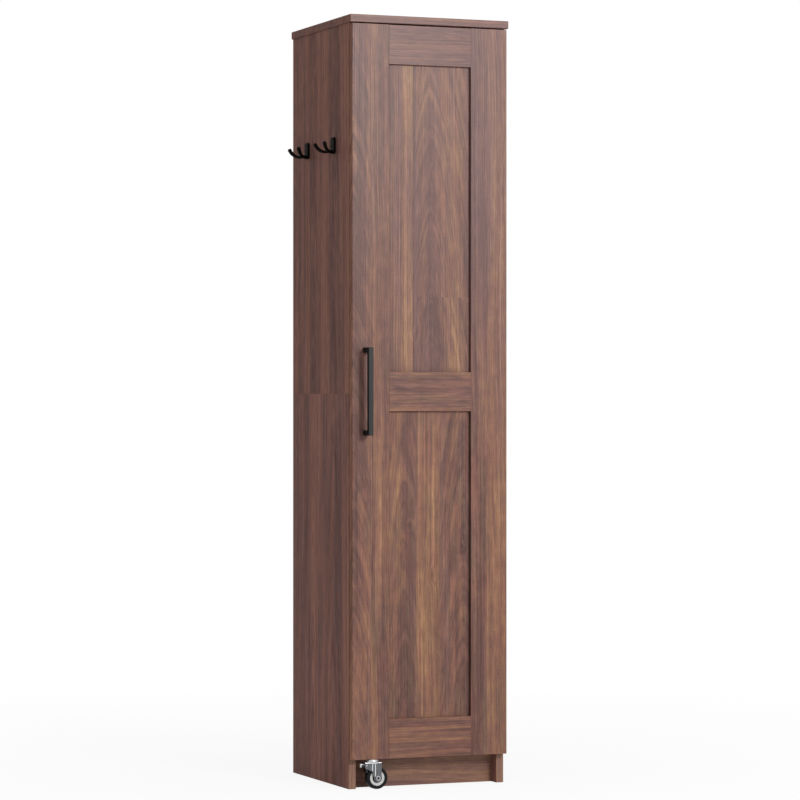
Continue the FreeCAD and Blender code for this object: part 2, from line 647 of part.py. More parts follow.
def hinge_arm(z):
    """A cranked arm: an eye on the pin, a leg inside the cup and a leg into the case."""
    half = HINGE_ARM_THICK / 2
    case_end = CASE_FRONT + HINGE_ARM_END
    outline = [V(HINGE_X, HINGE_Y - half, 0), V(HINGE_ARM_X - half, HINGE_Y - half, 0),
               V(HINGE_ARM_X - half, case_end, 0), V(HINGE_ARM_X + half, case_end, 0),
               V(HINGE_ARM_X + half, HINGE_Y + half, 0), V(HINGE_X, HINGE_Y + half, 0)]
    neck = extruded([point + V(0, 0, z - HINGE_EYE_WIDTH / 2) for point in outline], V(0, 0, HINGE_EYE_WIDTH))
    elbow = lambda edge: edge_is_along(edge, UP) and edge_is_at(edge, RIGHT, HINGE_ARM_X - half) \
        and edge_is_at(edge, BACKWARD, HINGE_Y - half)
    neck = rounded_edges(neck, HINGE_ARM_BEND, elbow)
    blade = box((HINGE_ARM_X - half, CASE_FRONT + HINGE_NECK_END, z - HINGE_ARM_WIDTH / 2),
                (HINGE_ARM_X + half, case_end, z + HINGE_ARM_WIDTH / 2))
    blade = eased_edges(blade, HINGE_ARM_WIDTH / 4, lambda edge: edge_is_along(edge, RIGHT))
    eye_half = V(0, 0, HINGE_EYE_WIDTH / 2)
    centre = V(HINGE_X, HINGE_Y, z)
    eye = bar(FITTING_SIDES, HINGE_EYE_RADIUS, centre - eye_half, centre + eye_half)
    hole = rod(HINGE_PIN_RADIUS + RUNNING_FIT, centre - eye_half, centre + eye_half)
    return neck.fuse([blade, eye]).removeSplitter().cut(hole)


def hinge_plate(z):
    """A plate with two wings, screwed to the side under the arm."""
    x0 = INNER_HALF - HINGE_PLATE_THICK
    line = CASE_FRONT + HINGE_SCREW_LINE
    base = box((x0, line - HINGE_PLATE_LENGTH / 2, z - HINGE_PLATE_WIDTH / 2),
               (INNER_HALF, line + HINGE_PLATE_LENGTH / 2, z + HINGE_PLATE_WIDTH / 2))
    wings = box((x0, line - HINGE_WING_WIDTH / 2, z - HINGE_WING_SPAN / 2),
                (INNER_HALF, line + HINGE_WING_WIDTH / 2, z + HINGE_WING_SPAN / 2))
    wings = eased_edges(wings, HINGE_WING_WIDTH / 4, lambda edge: edge_is_along(edge, RIGHT))
    return base.fuse(wings).removeSplitter()


def hinge_plate_fixings():
    x = INNER_HALF - HINGE_PLATE_THICK
    return [screw(V(x, CASE_FRONT + HINGE_SCREW_LINE, z + sign * HINGE_SCREW_SPACING / 2), RIGHT)
            for z in HINGE_HEIGHTS for sign in (-1, 1)]


def make_hinges(nodes):
    fixings = hinge_plate_fixings()
    nodes["hinge_cups"] = Part.makeCompound([hinge_cup(z) for z in HINGE_HEIGHTS])
    nodes["hinge_pins"] = Part.makeCompound([hinge_pin(z) for z in HINGE_HEIGHTS])
    nodes["hinge_arms"] = Part.makeCompound([hinge_arm(z) for z in HINGE_HEIGHTS])
    nodes["hinge_plates"] = Part.makeCompound([cut_all(hinge_plate(z), fixings) for z in HINGE_HEIGHTS])
    nodes["hinge_plate_screws"] = Part.makeCompound(fixings)


# Magnetic catch

def catch_fixings():
    """Screws through the catch's ends into the left side."""
    y = CASE_FRONT + CATCH_DEPTH / 2
    x = -INNER_HALF + CATCH_FLANGE_THICK
    return [screw(V(x, y, CATCH_HEIGHT + sign * CATCH_SCREW_SPACING / 2), LEFT) for sign in (-1, 1)]


def strike_fixing():
    return flush_screw(V(CATCH_X, STRIKE_FACE, CATCH_HEIGHT), FORWARD)


def make_catch(nodes):
    low = CATCH_HEIGHT - CATCH_LENGTH / 2
    high = CATCH_HEIGHT + CATCH_LENGTH / 2
    body = box((-INNER_HALF, CASE_FRONT, low), (-INNER_HALF + CATCH_WIDTH, CASE_FRONT + CATCH_DEPTH, high))
    end = (CATCH_LENGTH - CATCH_POLE_LENGTH) / 2 - CATCH_END_WALL
    for z0, z1 in ((low, low + end), (high - end, high)):
        body = body.cut(box((-INNER_HALF + CATCH_FLANGE_THICK, CASE_FRONT, z0),
                            (-INNER_HALF + CATCH_WIDTH, CASE_FRONT + CATCH_DEPTH, z1)))
    tip = STRIKE_FACE + CATCH_AIR_GAP
    rear = CASE_FRONT + CATCH_POLE_DEPTH
    z0 = CATCH_HEIGHT - CATCH_POLE_LENGTH / 2
    z1 = CATCH_HEIGHT + CATCH_POLE_LENGTH / 2
    inner = CATCH_MAGNET_THICK / 2
    outer = inner + CATCH_POLE_THICK
    pole_sides = ((-outer, -inner), (inner, outer))
    poles = [box((CATCH_X + left, tip, z0), (CATCH_X + right, rear, z1)) for left, right in pole_sides]
    magnet = box((CATCH_X - inner, CASE_FRONT, z0), (CATCH_X + inner, rear, z1))
    fixings = catch_fixings()
    nodes["catch_body"] = cut_all(body, poles + [magnet] + fixings)
    nodes["catch_poles"] = Part.makeCompound(poles)
    nodes["catch_magnet"] = magnet
    nodes["catch_screws"] = Part.makeCompound(fixings)
    strike = box((CATCH_X - STRIKE_WIDTH / 2, DOOR_BACK, CATCH_HEIGHT - STRIKE_LENGTH / 2),
                 (CATCH_X + STRIKE_WIDTH / 2, STRIKE_FACE, CATCH_HEIGHT + STRIKE_LENGTH / 2))
    strike = eased_edges(strike, STRIKE_WIDTH / 4, lambda edge: edge_is_along(edge, BACKWARD))
    nodes["strike_plate"] = strike.cut(strike_fixing())
    nodes["strike_screw"] = strike_fixing()


# Coat hooks

def hook_centres():
    return {"hook_front": CASE_FRONT + HOOK_FRONT_INSET, "hook_rear": CASE_FRONT + HOOK_REAR_INSET}


def hook_screws(y):
    x = -CASE_HALF - HOOK_PLATE_THICK
    return [flush_screw(V(x, y, HOOK_HEIGHT + rise), RIGHT) for rise in (0, HOOK_SCREW_RISE)]


def hook_fixings():
    return [fixing for y in hook_centres().values() for fixing in hook_screws(y)]


def hook_prong(root, side):
    """One prong: level out of the root, then a bend upwards, swelling to a rounded tip."""
    splay = math.radians(HOOK_SPLAY_DEGREES)
    outward = V(-math.cos(splay), side * math.sin(splay), 0)
    across = UP.cross(outward)
    full_turn = math.radians(HOOK_PRONG_TURN_DEGREES)
    bend_length = HOOK_PRONG_BEND * full_turn
    length = HOOK_PRONG_STRAIGHT + bend_length + HOOK_TIP_LENGTH

    def ring(along, shrink=0.0):
        """The prong's section at a distance along it."""
        turn = min(max((along - HOOK_PRONG_STRAIGHT) / HOOK_PRONG_BEND, 0), full_turn)
        level = min(along, HOOK_PRONG_STRAIGHT)
        tip = max(along - HOOK_PRONG_STRAIGHT - bend_length, 0)
        way = outward * math.cos(turn) + UP * math.sin(turn)
        rise = UP * math.cos(turn) - outward * math.sin(turn)
        centre = root + outward * (level + HOOK_PRONG_BEND * math.sin(turn)) + way * tip
        centre += UP * (HOOK_PRONG_BEND * (1 - math.cos(turn)))
        radius = HOOK_PRONG_RADIUS + (HOOK_TIP_RADIUS - HOOK_PRONG_RADIUS) * along / length - shrink
        turns = [2 * math.pi * n / HOOK_PRONG_SIDES for n in range(HOOK_PRONG_SIDES)]
        points = [centre + (across * math.cos(a) + rise * math.sin(a)) * radius for a in turns]
        return Part.makePolygon(points + points[:1])

    bend_step = bend_length / HOOK_PRONG_STEPS
    rings = [ring(0)] + [ring(HOOK_PRONG_STRAIGHT + n * bend_step) for n in range(HOOK_PRONG_STEPS + 1)]
    rings += [ring(length - HOOK_TIP_ROUND), ring(length, HOOK_TIP_ROUND)]
    return Part.makeLoft(rings, True, True)


def hook(y):
    """A wall plate with a root near its foot, from which two prongs spread."""
    outer = -CASE_HALF - HOOK_PLATE_THICK
    plate = box((outer, y - HOOK_PLATE_WIDTH / 2, HOOK_HEIGHT - HOOK_PLATE_HEIGHT / 2),
                (-CASE_HALF, y + HOOK_PLATE_WIDTH / 2, HOOK_HEIGHT + HOOK_PLATE_HEIGHT / 2))
    plate = eased_edges(plate, HOOK_PLATE_CORNER, lambda edge: edge_is_along(edge, RIGHT))
    foot = V(-CASE_HALF, y, HOOK_HEIGHT - HOOK_ROOT_DROP)
    root_end = V(outer - HOOK_ROOT_LENGTH, y, foot.z)
    root = bar(FITTING_SIDES, HOOK_ROOT_RADIUS, foot, root_end)
    start = V(outer, y, foot.z)
    whole = plate.fuse([root] + [hook_prong(start, side) for side in (-1, 1)]).removeSplitter()
    return cut_all(whole, hook_screws(y))


def make_hooks(nodes):
    for name, y in hook_centres().items():
        nodes[name] = hook(y)
    nodes["hook_screws"] = Part.makeCompound(hook_fixings())


# Caster

def caster_socket_bore():
    foot = V(SWIVEL.x, SWIVEL.y, DOOR_BOTTOM)
    return bar(FITTING_SIDES, SOCKET_RADIUS, foot, foot + UP * SOCKET_LENGTH)


def caster_stem():
    """The stem in the door, the domed raceway under it and the riveted kingpin that the fork turns on."""
    race = FORK_TOP + SWIVEL_WASHER_THICK + RUNNING_FIT
    head_top = FORK_UNDER - RUNNING_FIT
    profile = [(0, DOOR_BOTTOM), (RACEWAY_CROWN, DOOR_BOTTOM),
               ((RACEWAY_CROWN + 2 * RACEWAY_RADIUS) / 3, (2 * DOOR_BOTTOM + race) / 3),
               (RACEWAY_RADIUS, (DOOR_BOTTOM + 2 * race) / 3), (RACEWAY_RADIUS, race), (KINGPIN_RADIUS, race),
               (KINGPIN_RADIUS, head_top), (0, head_top)]
    foot = SWIVEL + UP * DOOR_BOTTOM
    stem = bar(FITTING_SIDES, STEM_RADIUS, foot, foot + UP * STEM_LENGTH)
    under = SWIVEL + UP * head_top
    head = bar(FITTING_SIDES, KINGPIN_HEAD_RADIUS, under - UP * KINGPIN_HEAD_THICK, under)
    return turned(profile, SWIVEL, UP).fuse([stem, head]).removeSplitter()


def kingpin_hole():
    """The running fit round the kingpin, through the fork and the washer."""
    return rod(KINGPIN_RADIUS + RUNNING_FIT, SWIVEL, SWIVEL + UP * DOOR_BOTTOM)


def swivel_washer():
    seat = SWIVEL + UP * FORK_TOP
    return bar(CUP_SIDES, SWIVEL_WASHER_RADIUS, seat, seat + UP * SWIVEL_WASHER_THICK).cut(kingpin_hole())


def tangent_point(corner, side):
    """Where a line from a corner of the fork's leg touches the round end at the axle."""
    away = corner - AXLE
    spread = math.acos(FORK_LEG_END_RADIUS / away.Length)
    turn = math.atan2(away.z, away.x) + side * spread
    return AXLE + V(math.cos(turn), 0, math.sin(turn)) * FORK_LEG_END_RADIUS


def fork_outline():
    """The leg seen from the side, as a wire in the wheel's middle plane."""
    lead = SWIVEL.x - FORK_LEG_LEAD
    tail = AXLE.x + FORK_LEG_TAIL
    lead_corner = V(lead, AXLE.y, FORK_LEG_LEAD_HEIGHT)
    tail_corner = V(tail, AXLE.y, FORK_LEG_TAIL_HEIGHT)
    knee = V(SWIVEL.x - FORK_LEG_KNEE, AXLE.y, FORK_LEG_KNEE_HEIGHT)
    lead_touch = tangent_point(knee, 1)
    tail_touch = tangent_point(tail_corner, -1)
    sole = AXLE - UP * FORK_LEG_END_RADIUS
    straight = Part.makePolygon([lead_touch, knee, lead_corner, V(lead, AXLE.y, FORK_TOP),
                                 V(tail, AXLE.y, FORK_TOP), tail_corner, tail_touch])
    return Part.Wire(straight.Edges + [Part.Arc(tail_touch, sole, lead_touch).toShape()])


def caster_fork():
    """A pressed fork: a channel cut to the leg's outline, with a round seat and two ribs on each leg."""
    leg = Part.Face(fork_outline())
    leg.translate(V(0, -FORK_OUTSIDE, 0))
    channel = leg.extrude(V(0, 2 * FORK_OUTSIDE, 0))
    span = channel.BoundBox
    channel = channel.cut(box((span.XMin, AXLE.y - FORK_INSIDE, span.ZMin),
                              (span.XMax, AXLE.y + FORK_INSIDE, FORK_UNDER)))
    top_bend = lambda edge: edge_is_along(edge, RIGHT) and edge_is_at(edge, UP, FORK_TOP)
    channel = rounded_edges(channel, FORK_BEND, top_bend)
    seat = rod(FORK_PLATE_RADIUS, V(SWIVEL.x, SWIVEL.y, FORK_UNDER), V(SWIVEL.x, SWIVEL.y, FORK_TOP))
    ribs = []
    for lead, rise in ((FORK_RIB_LEAD, FORK_RIB_RISE), (FORK_SHORT_RIB_LEAD, FORK_SHORT_RIB_RISE)):
        for face in (AXLE.y - FORK_OUTSIDE, AXLE.y + FORK_OUTSIDE):
            foot = V(AXLE.x - lead, face, AXLE.z + rise)
            top = V(AXLE.x - lead, face, FORK_TOP - FORK_RIB_TOP)
            ribs.append(bar(HEAD_SIDES, FORK_RIB_RADIUS, foot, top))
    fork = channel.fuse([seat] + ribs).removeSplitter()
    return cut_all(fork, [kingpin_hole(), axle_shank(), brake_pin()])


def axle_shank():
    tip = FORK_OUTSIDE + AXLE_NUT_THICK + AXLE_END
    return bar(FITTING_SIDES, AXLE_RADIUS, AXLE - V(0, FORK_OUTSIDE, 0), AXLE + V(0, tip, 0))


def axle_bolt():
    head = hexagon(AXLE_HEAD_ACROSS, AXLE - V(0, FORK_OUTSIDE, 0), V(0, -AXLE_HEAD_THICK, 0))
    return axle_shank().fuse(head).removeSplitter()


def axle_nut():
    return hexagon(AXLE_HEAD_ACROSS, AXLE + V(0, FORK_OUTSIDE, 0), V(0, AXLE_NUT_THICK, 0)).cut(axle_shank())


def axle_sleeve():
    reach = V(0, FORK_INSIDE, 0)
    return rod(SLEEVE_RADIUS, AXLE - reach, AXLE + reach).cut(axle_shank())


def wheel_hub():
    """A moulded wheel centre: a boss, a thin web and a rim under the tyre."""
    bore = SLEEVE_RADIUS + RUNNING_FIT
    boss = FORK_INSIDE - SWING_CLEARANCE
    web = HUB_WEB / 2
    rim = HUB_WIDTH / 2
    rim_inner = TYRE_INNER_RADIUS - HUB_RIM
    near = [(bore, -boss), (HUB_BOSS_RADIUS, -boss), (HUB_BOSS_RADIUS, -web), (rim_inner, -web),
            (rim_inner, -rim), (TYRE_INNER_RADIUS, -rim)]
    far = [(radius, -along) for radius, along in reversed(near)]
    return turned(near + far, AXLE, BACKWARD)


def wheel_tyre():
    """A ring with sloped shoulders."""
    half = TYRE_WIDTH / 2
    near = [(TYRE_INNER_RADIUS, -half), (WHEEL_RADIUS - TYRE_SHOULDER, -half),
            (WHEEL_RADIUS, TYRE_SHOULDER - half)]
    far = [(radius, -along) for radius, along in reversed(near)]
    return turned(near + far, AXLE, BACKWARD)


def brake_pin():
    reach = V(0, FORK_OUTSIDE, 0)
    return bar(FITTING_SIDES, BRAKE_PIN_RADIUS, BRAKE_PIVOT - reach, BRAKE_PIVOT + reach)


def brake_pedal():
    """The foot plate ahead of the pin, with a lip turned down at its end."""
    thick = BRAKE_PEDAL_THICK
    y = BRAKE_PIVOT.y - BRAKE_PEDAL_WIDTH / 2
    root = V(BRAKE_PIVOT.x, y, BRAKE_PIVOT.z + BRAKE_BARREL_RADIUS)
    tip = V(SWIVEL.x - BRAKE_PEDAL_REACH, y, root.z + BRAKE_PEDAL_RISE)
    outline = [root, tip, tip - UP * BRAKE_LIP, tip - UP * BRAKE_LIP + RIGHT * thick,
               tip - UP * thick + RIGHT * thick, root - UP * thick]
    return extruded(outline, BACKWARD * BRAKE_PEDAL_WIDTH)


def brake_lever():
    """A pressed lever: a pedal, a barrel on the pin and an arm with its shoe beside the tyre."""
    half = FORK_INSIDE - BRAKE_SIDE_PLAY
    reach = BACKWARD * half
    shoe_z = BRAKE_PIVOT.z - BRAKE_SHOE_DROP
    shoe_x = AXLE.x - math.sqrt((WHEEL_RADIUS + BRAKE_SHOE_GAP) ** 2 - (shoe_z - AXLE.z) ** 2)
    shoe = V(shoe_x, BRAKE_PIVOT.y, shoe_z)
    root_half = RIGHT * (BRAKE_ARM_THICK / 2)
    outline = [BRAKE_PIVOT + root_half, shoe, shoe - RIGHT * BRAKE_ARM_THICK, BRAKE_PIVOT - root_half]
    arm = extruded([point - reach for point in outline], 2 * reach)
    barrel = rod(BRAKE_BARREL_RADIUS, BRAKE_PIVOT - reach, BRAKE_PIVOT + reach)
    hole = rod(BRAKE_PIN_RADIUS + RUNNING_FIT, BRAKE_PIVOT - reach, BRAKE_PIVOT + reach)
    return barrel.fuse([brake_pedal(), arm]).removeSplitter().cut(hole)


def make_caster(nodes):
    nodes["caster_socket"] = caster_socket_bore().cut(caster_stem())
    nodes["caster_stem"] = caster_stem()
    nodes["caster_swivel_washer"] = swivel_washer()
    nodes["caster_fork"] = caster_fork()
    nodes["caster_axle_bolt"] = axle_bolt()
    nodes["caster_axle_nut"] = axle_nut()
    nodes["caster_axle_sleeve"] = axle_sleeve()
    nodes["caster_brake_pin"] = brake_pin()
    nodes["caster_wheel_hub"] = wheel_hub()
    nodes["caster_tyre"] = wheel_tyre()
    nodes["caster_brake_lever"] = brake_lever()


def build():
    nodes = {}
    make_case(nodes)
    make_door(nodes)
    make_handle(nodes)
    make_hinges(nodes)
    make_catch(nodes)
    make_hooks(nodes)
    make_caster(nodes)
    os.makedirs("parts", exist_ok=True)
    for name, shape in nodes.items():
        shape.exportStep(f"parts/{name}.step")


build()
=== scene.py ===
import math
from collections import namedtuple

import bmesh
import bpy
from mathutils import Matrix, Vector


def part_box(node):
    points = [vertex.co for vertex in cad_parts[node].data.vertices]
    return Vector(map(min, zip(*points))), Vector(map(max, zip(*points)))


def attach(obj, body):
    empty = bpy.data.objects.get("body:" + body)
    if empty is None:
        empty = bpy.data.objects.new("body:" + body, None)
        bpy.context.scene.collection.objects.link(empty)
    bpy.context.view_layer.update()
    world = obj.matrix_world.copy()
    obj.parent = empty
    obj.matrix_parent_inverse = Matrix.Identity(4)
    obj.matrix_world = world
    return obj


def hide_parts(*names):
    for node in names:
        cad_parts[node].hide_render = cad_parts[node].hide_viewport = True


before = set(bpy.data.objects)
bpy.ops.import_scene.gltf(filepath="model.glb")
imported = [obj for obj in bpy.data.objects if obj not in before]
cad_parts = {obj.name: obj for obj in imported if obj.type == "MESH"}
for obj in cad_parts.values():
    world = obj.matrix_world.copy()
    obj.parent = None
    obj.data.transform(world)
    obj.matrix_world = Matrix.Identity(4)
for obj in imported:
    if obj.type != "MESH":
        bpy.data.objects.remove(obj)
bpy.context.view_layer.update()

# Camera, at the photograph's viewing angle
CAMERA_PLACE = (-2.8886, -7.4206, 0.8825)
CAMERA_YAW = math.radians(-21.83)
CAMERA_LENS = 146.0
CAMERA_FILM = 36.0
CAMERA_SHIFT_UP = 0.012
CAMERA_REACH = 100.0

# Light: one soft lamp in front, a little right and up, in an even white room
LAMP_TARGET = (0.0, -0.4, 0.95)
LAMP_DISTANCE = 4.6
LAMP_AZIMUTH = math.radians(15)
LAMP_ELEVATION = math.radians(20)
LAMP_SIZE = 1.3
LAMP_POWER = 118.0
ROOM_LIGHT = 0.5
FLOOR_SIZE = 30.0
FLOOR_COLOUR = (0.9, 0.9, 0.9, 1)
FLOOR_ROUGHNESS = 0.9
FLOOR_GLOSS = 0.1
FLOOR_GLOW = 0.9
FLOOR_NEAR = 0.4
FLOOR_FAR = 2.5

# Axes, and the lay of a board: its axes along and across the grain
X, Y, Z = 0, 1, 2
LAY_SIDE = (Z, Y)
LAY_UPRIGHT = (Z, X)
LAY_LEVEL = (X, Z)
LAY_FLAT = (X, Y)

# Walnut palette, as sRGB: painted shade on the door frame's inner walls, then the grain from darkest to
# palest
WALNUT_SHADES = [(0.0, (62, 38, 33)), (0.05, (94, 64, 58)), (0.25, (112, 78, 69)), (0.5, (131, 92, 75)),
                 (0.75, (146, 105, 80)), (1.0, (168, 126, 91))]
# WALNUT_MAUVE: the print's mauve streaks, and also a sheen of reflected light painted in mauve
WALNUT_MAUVE = (116, 88, 87)
WALNUT_OLIVE = (114, 95, 74)
WALNUT_ROSE = (132, 86, 74)
# WALNUT_SHADE_PINK: a pink cast painted as shade on the faces off the front
WALNUT_SHADE_PINK = (144, 97, 93)
DARKEST = 0.1

# Marks in the walnut print: how many to a metre across and along the grain, how strongly they show, the
# noise that they come from, the range of it that shows, and whether they run on through the board
Marks = namedtuple("Marks", "across along strength layer detail roughness reach solid",
                   defaults=(0.0, 2.0, 0.5, None, False))
WANDER = Marks(11, 3, 0.022)
BANDS = Marks(95, 2, 0.5, detail=3.0, roughness=0.6, reach=(0.32, 0.68))
STRIPES = Marks(70, 1.1, 0.5, solid=True)
BROAD_STREAKS = Marks(24, 2.2, 1.0, solid=True)
MOTTLE = Marks(60, 28, 0.75, detail=3.0, solid=True)
SMUDGES = Marks(36, 9, 0.06, layer=8.0, reach=(0.54, 0.72))
MAUVE_STREAKS = Marks(45, 2.6, 0.2, layer=3.1, reach=(0.45, 0.68))
TINTS = Marks(60, 7, 0.35, layer=6.4)
LINES = Marks(290, 2.5, 0.3, layer=5.0, detail=3.0, roughness=0.65, reach=(0.35, 0.65))
FIBRES = Marks(330, 1.1, 0.36, detail=3.0, roughness=0.65, reach=(0.35, 0.65), solid=True)
FINE_GRAIN = Marks(620, 24, 0.9, solid=True)
PORES = Marks(2200, 110, 0.3, detail=1.0, reach=(0.6, 0.7), solid=True)
SWAY = 2.0

# How far one colour or kind of mark leads another, as shares
MAUVE_FIBRES = 0.3
TINT_REACH = 0.2
TINT_UNDER_MAUVE = 0.5
# PAINTED_SHEEN_HEIGHTS: heights in metres between which the painted sheen goes from its foot share to its
# head share
PAINTED_SHEEN_HEIGHTS = (0.6, 1.4)
# The pink cast painted as shade: the tones it shows in, and its shares on the sides and the door's outer
# edge
SHADE_PINK_TONES = (0.3, 0.9)
SIDE_SHADE_PINK = 0.45
DOOR_EDGE_SHADE_PINK = 0.4

# Planks and knots: shares across a board, tones, and metres
JOINT = 0.002
# RECESS_SHADE: the lowest tone, painted shade on the inner walls of the door frame round its panels
RECESS_SHADE = -0.5
TONE_SPAN = 2.0
STRAIGHT = (-0.6, 0.015)
HEART_DEPTH = 0.022
PLANK_SEED = 0.11
PLANK_SEED_STEP = 0.37
PLANK_SHIFT = 40
BOARD_SHIFT = 10
BUTT_SHIFT = 7.7
KNOT_SIZE = 0.011
KNOT_STRETCH = 0.5
KNOT_PULL = 0.7
KNOT_SWELL = 0.0176
KNOT_FADE = 4
KNOT_INK = 0.34

# The walnut's surface
WALNUT_GLOSS = 0.01
WALNUT_ROUGHNESS = (0.5, 0.42)
SHEEN = 0.5
SHEEN_DEPTH = 0.0005
SHEEN_ROUGHNESS = 0.4
FINE_RELIEF = 0.4
RELIEF = 0.12
RELIEF_DEPTH = 0.0004

# Noise: its middle, the range in which most of it lies, and the range that shows as clouds
NOISE_MIDDLE = 0.5
NOISE_REACH = (0.3, 0.7)
CLOUD_REACH = (0.35, 0.65)

# Skins of the fittings: grains and clouds to a metre, the depth of clouds and bumps, and how far the
# roughness goes about its mean
COATED_SKIN = 900.0
MOULDED_SKIN = 700.0
PRESSED_SKIN = 500.0
RUBBER_SKIN = 1200.0
BRUSHED_SKIN = 140.0
METAL_CLOUDS = 60.0
METAL_CLOUD_DEPTH = 0.12
METAL_BUMP = 0.06
METAL_SPREAD = 0.15
MOULDED_CLOUDS = 45.0
MOULDED_CLOUD_DEPTH = 0.1
MOULDED_BUMP = 0.08
MOULDED_SPREAD = 0.1
SKIN_DEPTH = 0.0002

# The back sheets: colours as sRGB, then fibres and clouds to a metre and the range and depth they show in
SHEET_DARK = (124, 90, 64)
SHEET_PALE = (156, 119, 88)
SHEET_CLOUD = (110, 78, 56)
SHEET_FIBRES = 260.0
SHEET_FIBRES_UPRIGHT = 120.0
SHEET_FIBRE_REACH = (0.35, 0.68)
SHEET_CLOUDS = 12.0
SHEET_CLOUD_REACH = (0.4, 0.65)
SHEET_CLOUD_DEPTH = 0.3
SHEET_BUMP = 0.15
SHEET_ROUGHNESS = 0.75

# Colours of the fittings with more than one, as sRGB; the lever's shoe, the fork's legs, the bolt's dish and
# the wheel's web are painted shade
BAR_DARK = (22, 22, 23)
BAR_PALE = (30, 30, 31)
BRIGHT_PLATE = (226, 227, 229)
# The lever's lower part: painted shade
SHOE_SHADE_DARK = (56, 57, 59)
SHOE_SHADE_PALE = (76, 77, 80)
# The fork's legs: speckled painted shade
LEG_SHADE_DARK = (84, 85, 88)
LEG_SHADE_PALE = (118, 119, 122)
BOLT_DARK = (176, 177, 180)
BOLT_PALE = (206, 207, 210)
# DISH_SHADE: painted shade and dark reflection in the bolt's dish
DISH_SHADE = (62, 63, 66)
WHEEL_PALE = (214, 214, 212)
# WHEEL_WEB_SHADE: painted shade on the hub's web and boss
WHEEL_WEB_SHADE = (52, 52, 54)

# Their gloss and roughness
BAR_GLOSS = 0.06
BAR_ROUGHNESS = (0.45, 0.55)
BAR_SHEEN = 0.55
BAR_SHEEN_ROUGHNESS = 0.35
PRESSED_ROUGHNESS = (0.26, 0.36)
BOLT_ROUGHNESS = (0.28, 0.38)
WHEEL_GLOSS = 0.4
WHEEL_ROUGHNESS = (0.32, 0.42)
WHEEL_SPECKLE = 0.1

# Shapes of the fittings, in metres and in shares
FORK_LEG_FACE = 0.0124
FORK_TOP_EDGE = 0.0016
# LEVER_SHADE_HEIGHT: the share of the lever's height below which it is painted shade
LEVER_SHADE_HEIGHT = 0.6
DISH_RADIUS = 0.0034
DISH_DEPTH = 0.0009
# DISH_MARGIN: how far past the dish's depth its painted shade reaches, as a share
DISH_MARGIN = 1.1
DISH_FLOOR = 0.8
WHEEL_RING = 0.0115
WHEEL_FACE = 0.015
RING_BLEND = 0.0002
HUB_BORE = 0.00455
HUB_BOSS = 0.0075
HUB_CHAMFER = 0.0005
HUB_WEB = 0.0025
LIP_CHAMFER = 0.0004
LIP_CREST = 0.0012
LIP_FOOT = 0.0016
LIP_HEIGHT = 0.0005
TYRE_BEAD = (0.0006, 0.0004)
TYRE_SHOULDER = [(0.0022, 0.0), (0.001, 0.0004), (0.0003, 0.0012), (0.0, 0.0026)]
BUMPER_DOME = [(0.0, 0.0), (1.0, 0.0), (1.0, 0.3), (0.85, 0.68), (0.55, 0.92), (0.0, 1.0)]

# Screws: the head's height in metres, then shares of its radius and height
SCREW_HEAD = 0.0018
SCREW_CROWN = 0.8
SCREW_SHANK = 0.5
SCREW_STRAIGHT = 0.8
CROSS_WIDTH = 0.22
CROSS_DEPTH = 0.6
CROSS_FLOOR = 0.75
FLUSH_HEAD = [(1.0, 0.1)]
PAN_HEAD = [(0.936, 0.2), (1.0, 0.55), (1.0, 1.0)]

# Turned pieces: the way to the back and the steps round; and the least step between two points or planes
BACK = Vector((0, 1, 0))
WHEEL_STEPS = 72
ROUND_STEPS = 24
MERGE = 1e-6
PLANE = 1e-5

# The body and the material slot of each CAD node that a new piece takes the place of
PIECE_HOMES = {
    "hook_screws": ("carcase", "black_metal"),
    "hook_front": ("carcase", "black_metal"),
    "hook_rear": ("carcase", "black_metal"),
    "hinge_plate_screws": ("carcase", "zinc_steel"),
    "tie_screws": ("carcase", "zinc_steel"),
    "catch_screws": ("carcase", "zinc_steel"),
    "shelf_pins": ("carcase", "zinc_steel"),
    "hinge_arms": ("carcase", "nickel_steel"),
    "handle_screws": ("door", "zinc_steel"),
    "strike_screw": ("door", "zinc_steel"),
    "hinge_cups": ("door", "nickel_steel"),
    "door_bumpers": ("door", "clear_rubber"),
    "caster_stem": ("door", "zinc_steel"),
    "caster_axle_bolt": ("caster_fork", "zinc_steel"),
    "caster_brake_lever": ("caster_brake", "zinc_steel"),
    "caster_wheel_hub": ("caster_wheel", "grey_plastic"),
    "caster_tyre": ("caster_wheel", "black_tyre"),
}


def shade(red, green, blue):
    """A screen colour of 0 to 255 as the linear colour that a shader takes."""
    def linear(level):
        level /= 255
        return level / 12.92 if level <= 0.04045 else ((level + 0.055) / 1.055) ** 2.4
    return (linear(red), linear(green), linear(blue), 1.0)


BLACK = shade(0, 0, 0)
WHITE = shade(255, 255, 255)


class Wire:
    """A shader value. Arithmetic on it adds Math nodes."""

    def __init__(self, finish, socket):
        self.finish = finish
        self.socket = socket

    def math(self, operation, *values):
        return self.finish.node("ShaderNodeMath", {"operation": operation}, dict(enumerate(values)))

    def __add__(self, other):
        return self.math("ADD", self, other)

    def __radd__(self, other):
        return self.math("ADD", other, self)

    def __sub__(self, other):
        return self.math("SUBTRACT", self, other)

    def __rsub__(self, other):
        return self.math("SUBTRACT", other, self)

    def __mul__(self, other):
        return self.math("MULTIPLY", self, other)

    def __rmul__(self, other):
        return self.math("MULTIPLY", other, self)

    def __truediv__(self, other):
        return self.math("DIVIDE", self, other)

    def __rtruediv__(self, other):
        return self.math("DIVIDE", other, self)

    def __pow__(self, other):
        return self.math("POWER", self, other)

    def __gt__(self, other):
        return self.math("GREATER_THAN", self, other)

    def __lt__(self, other):
        return self.math("LESS_THAN", self, other)


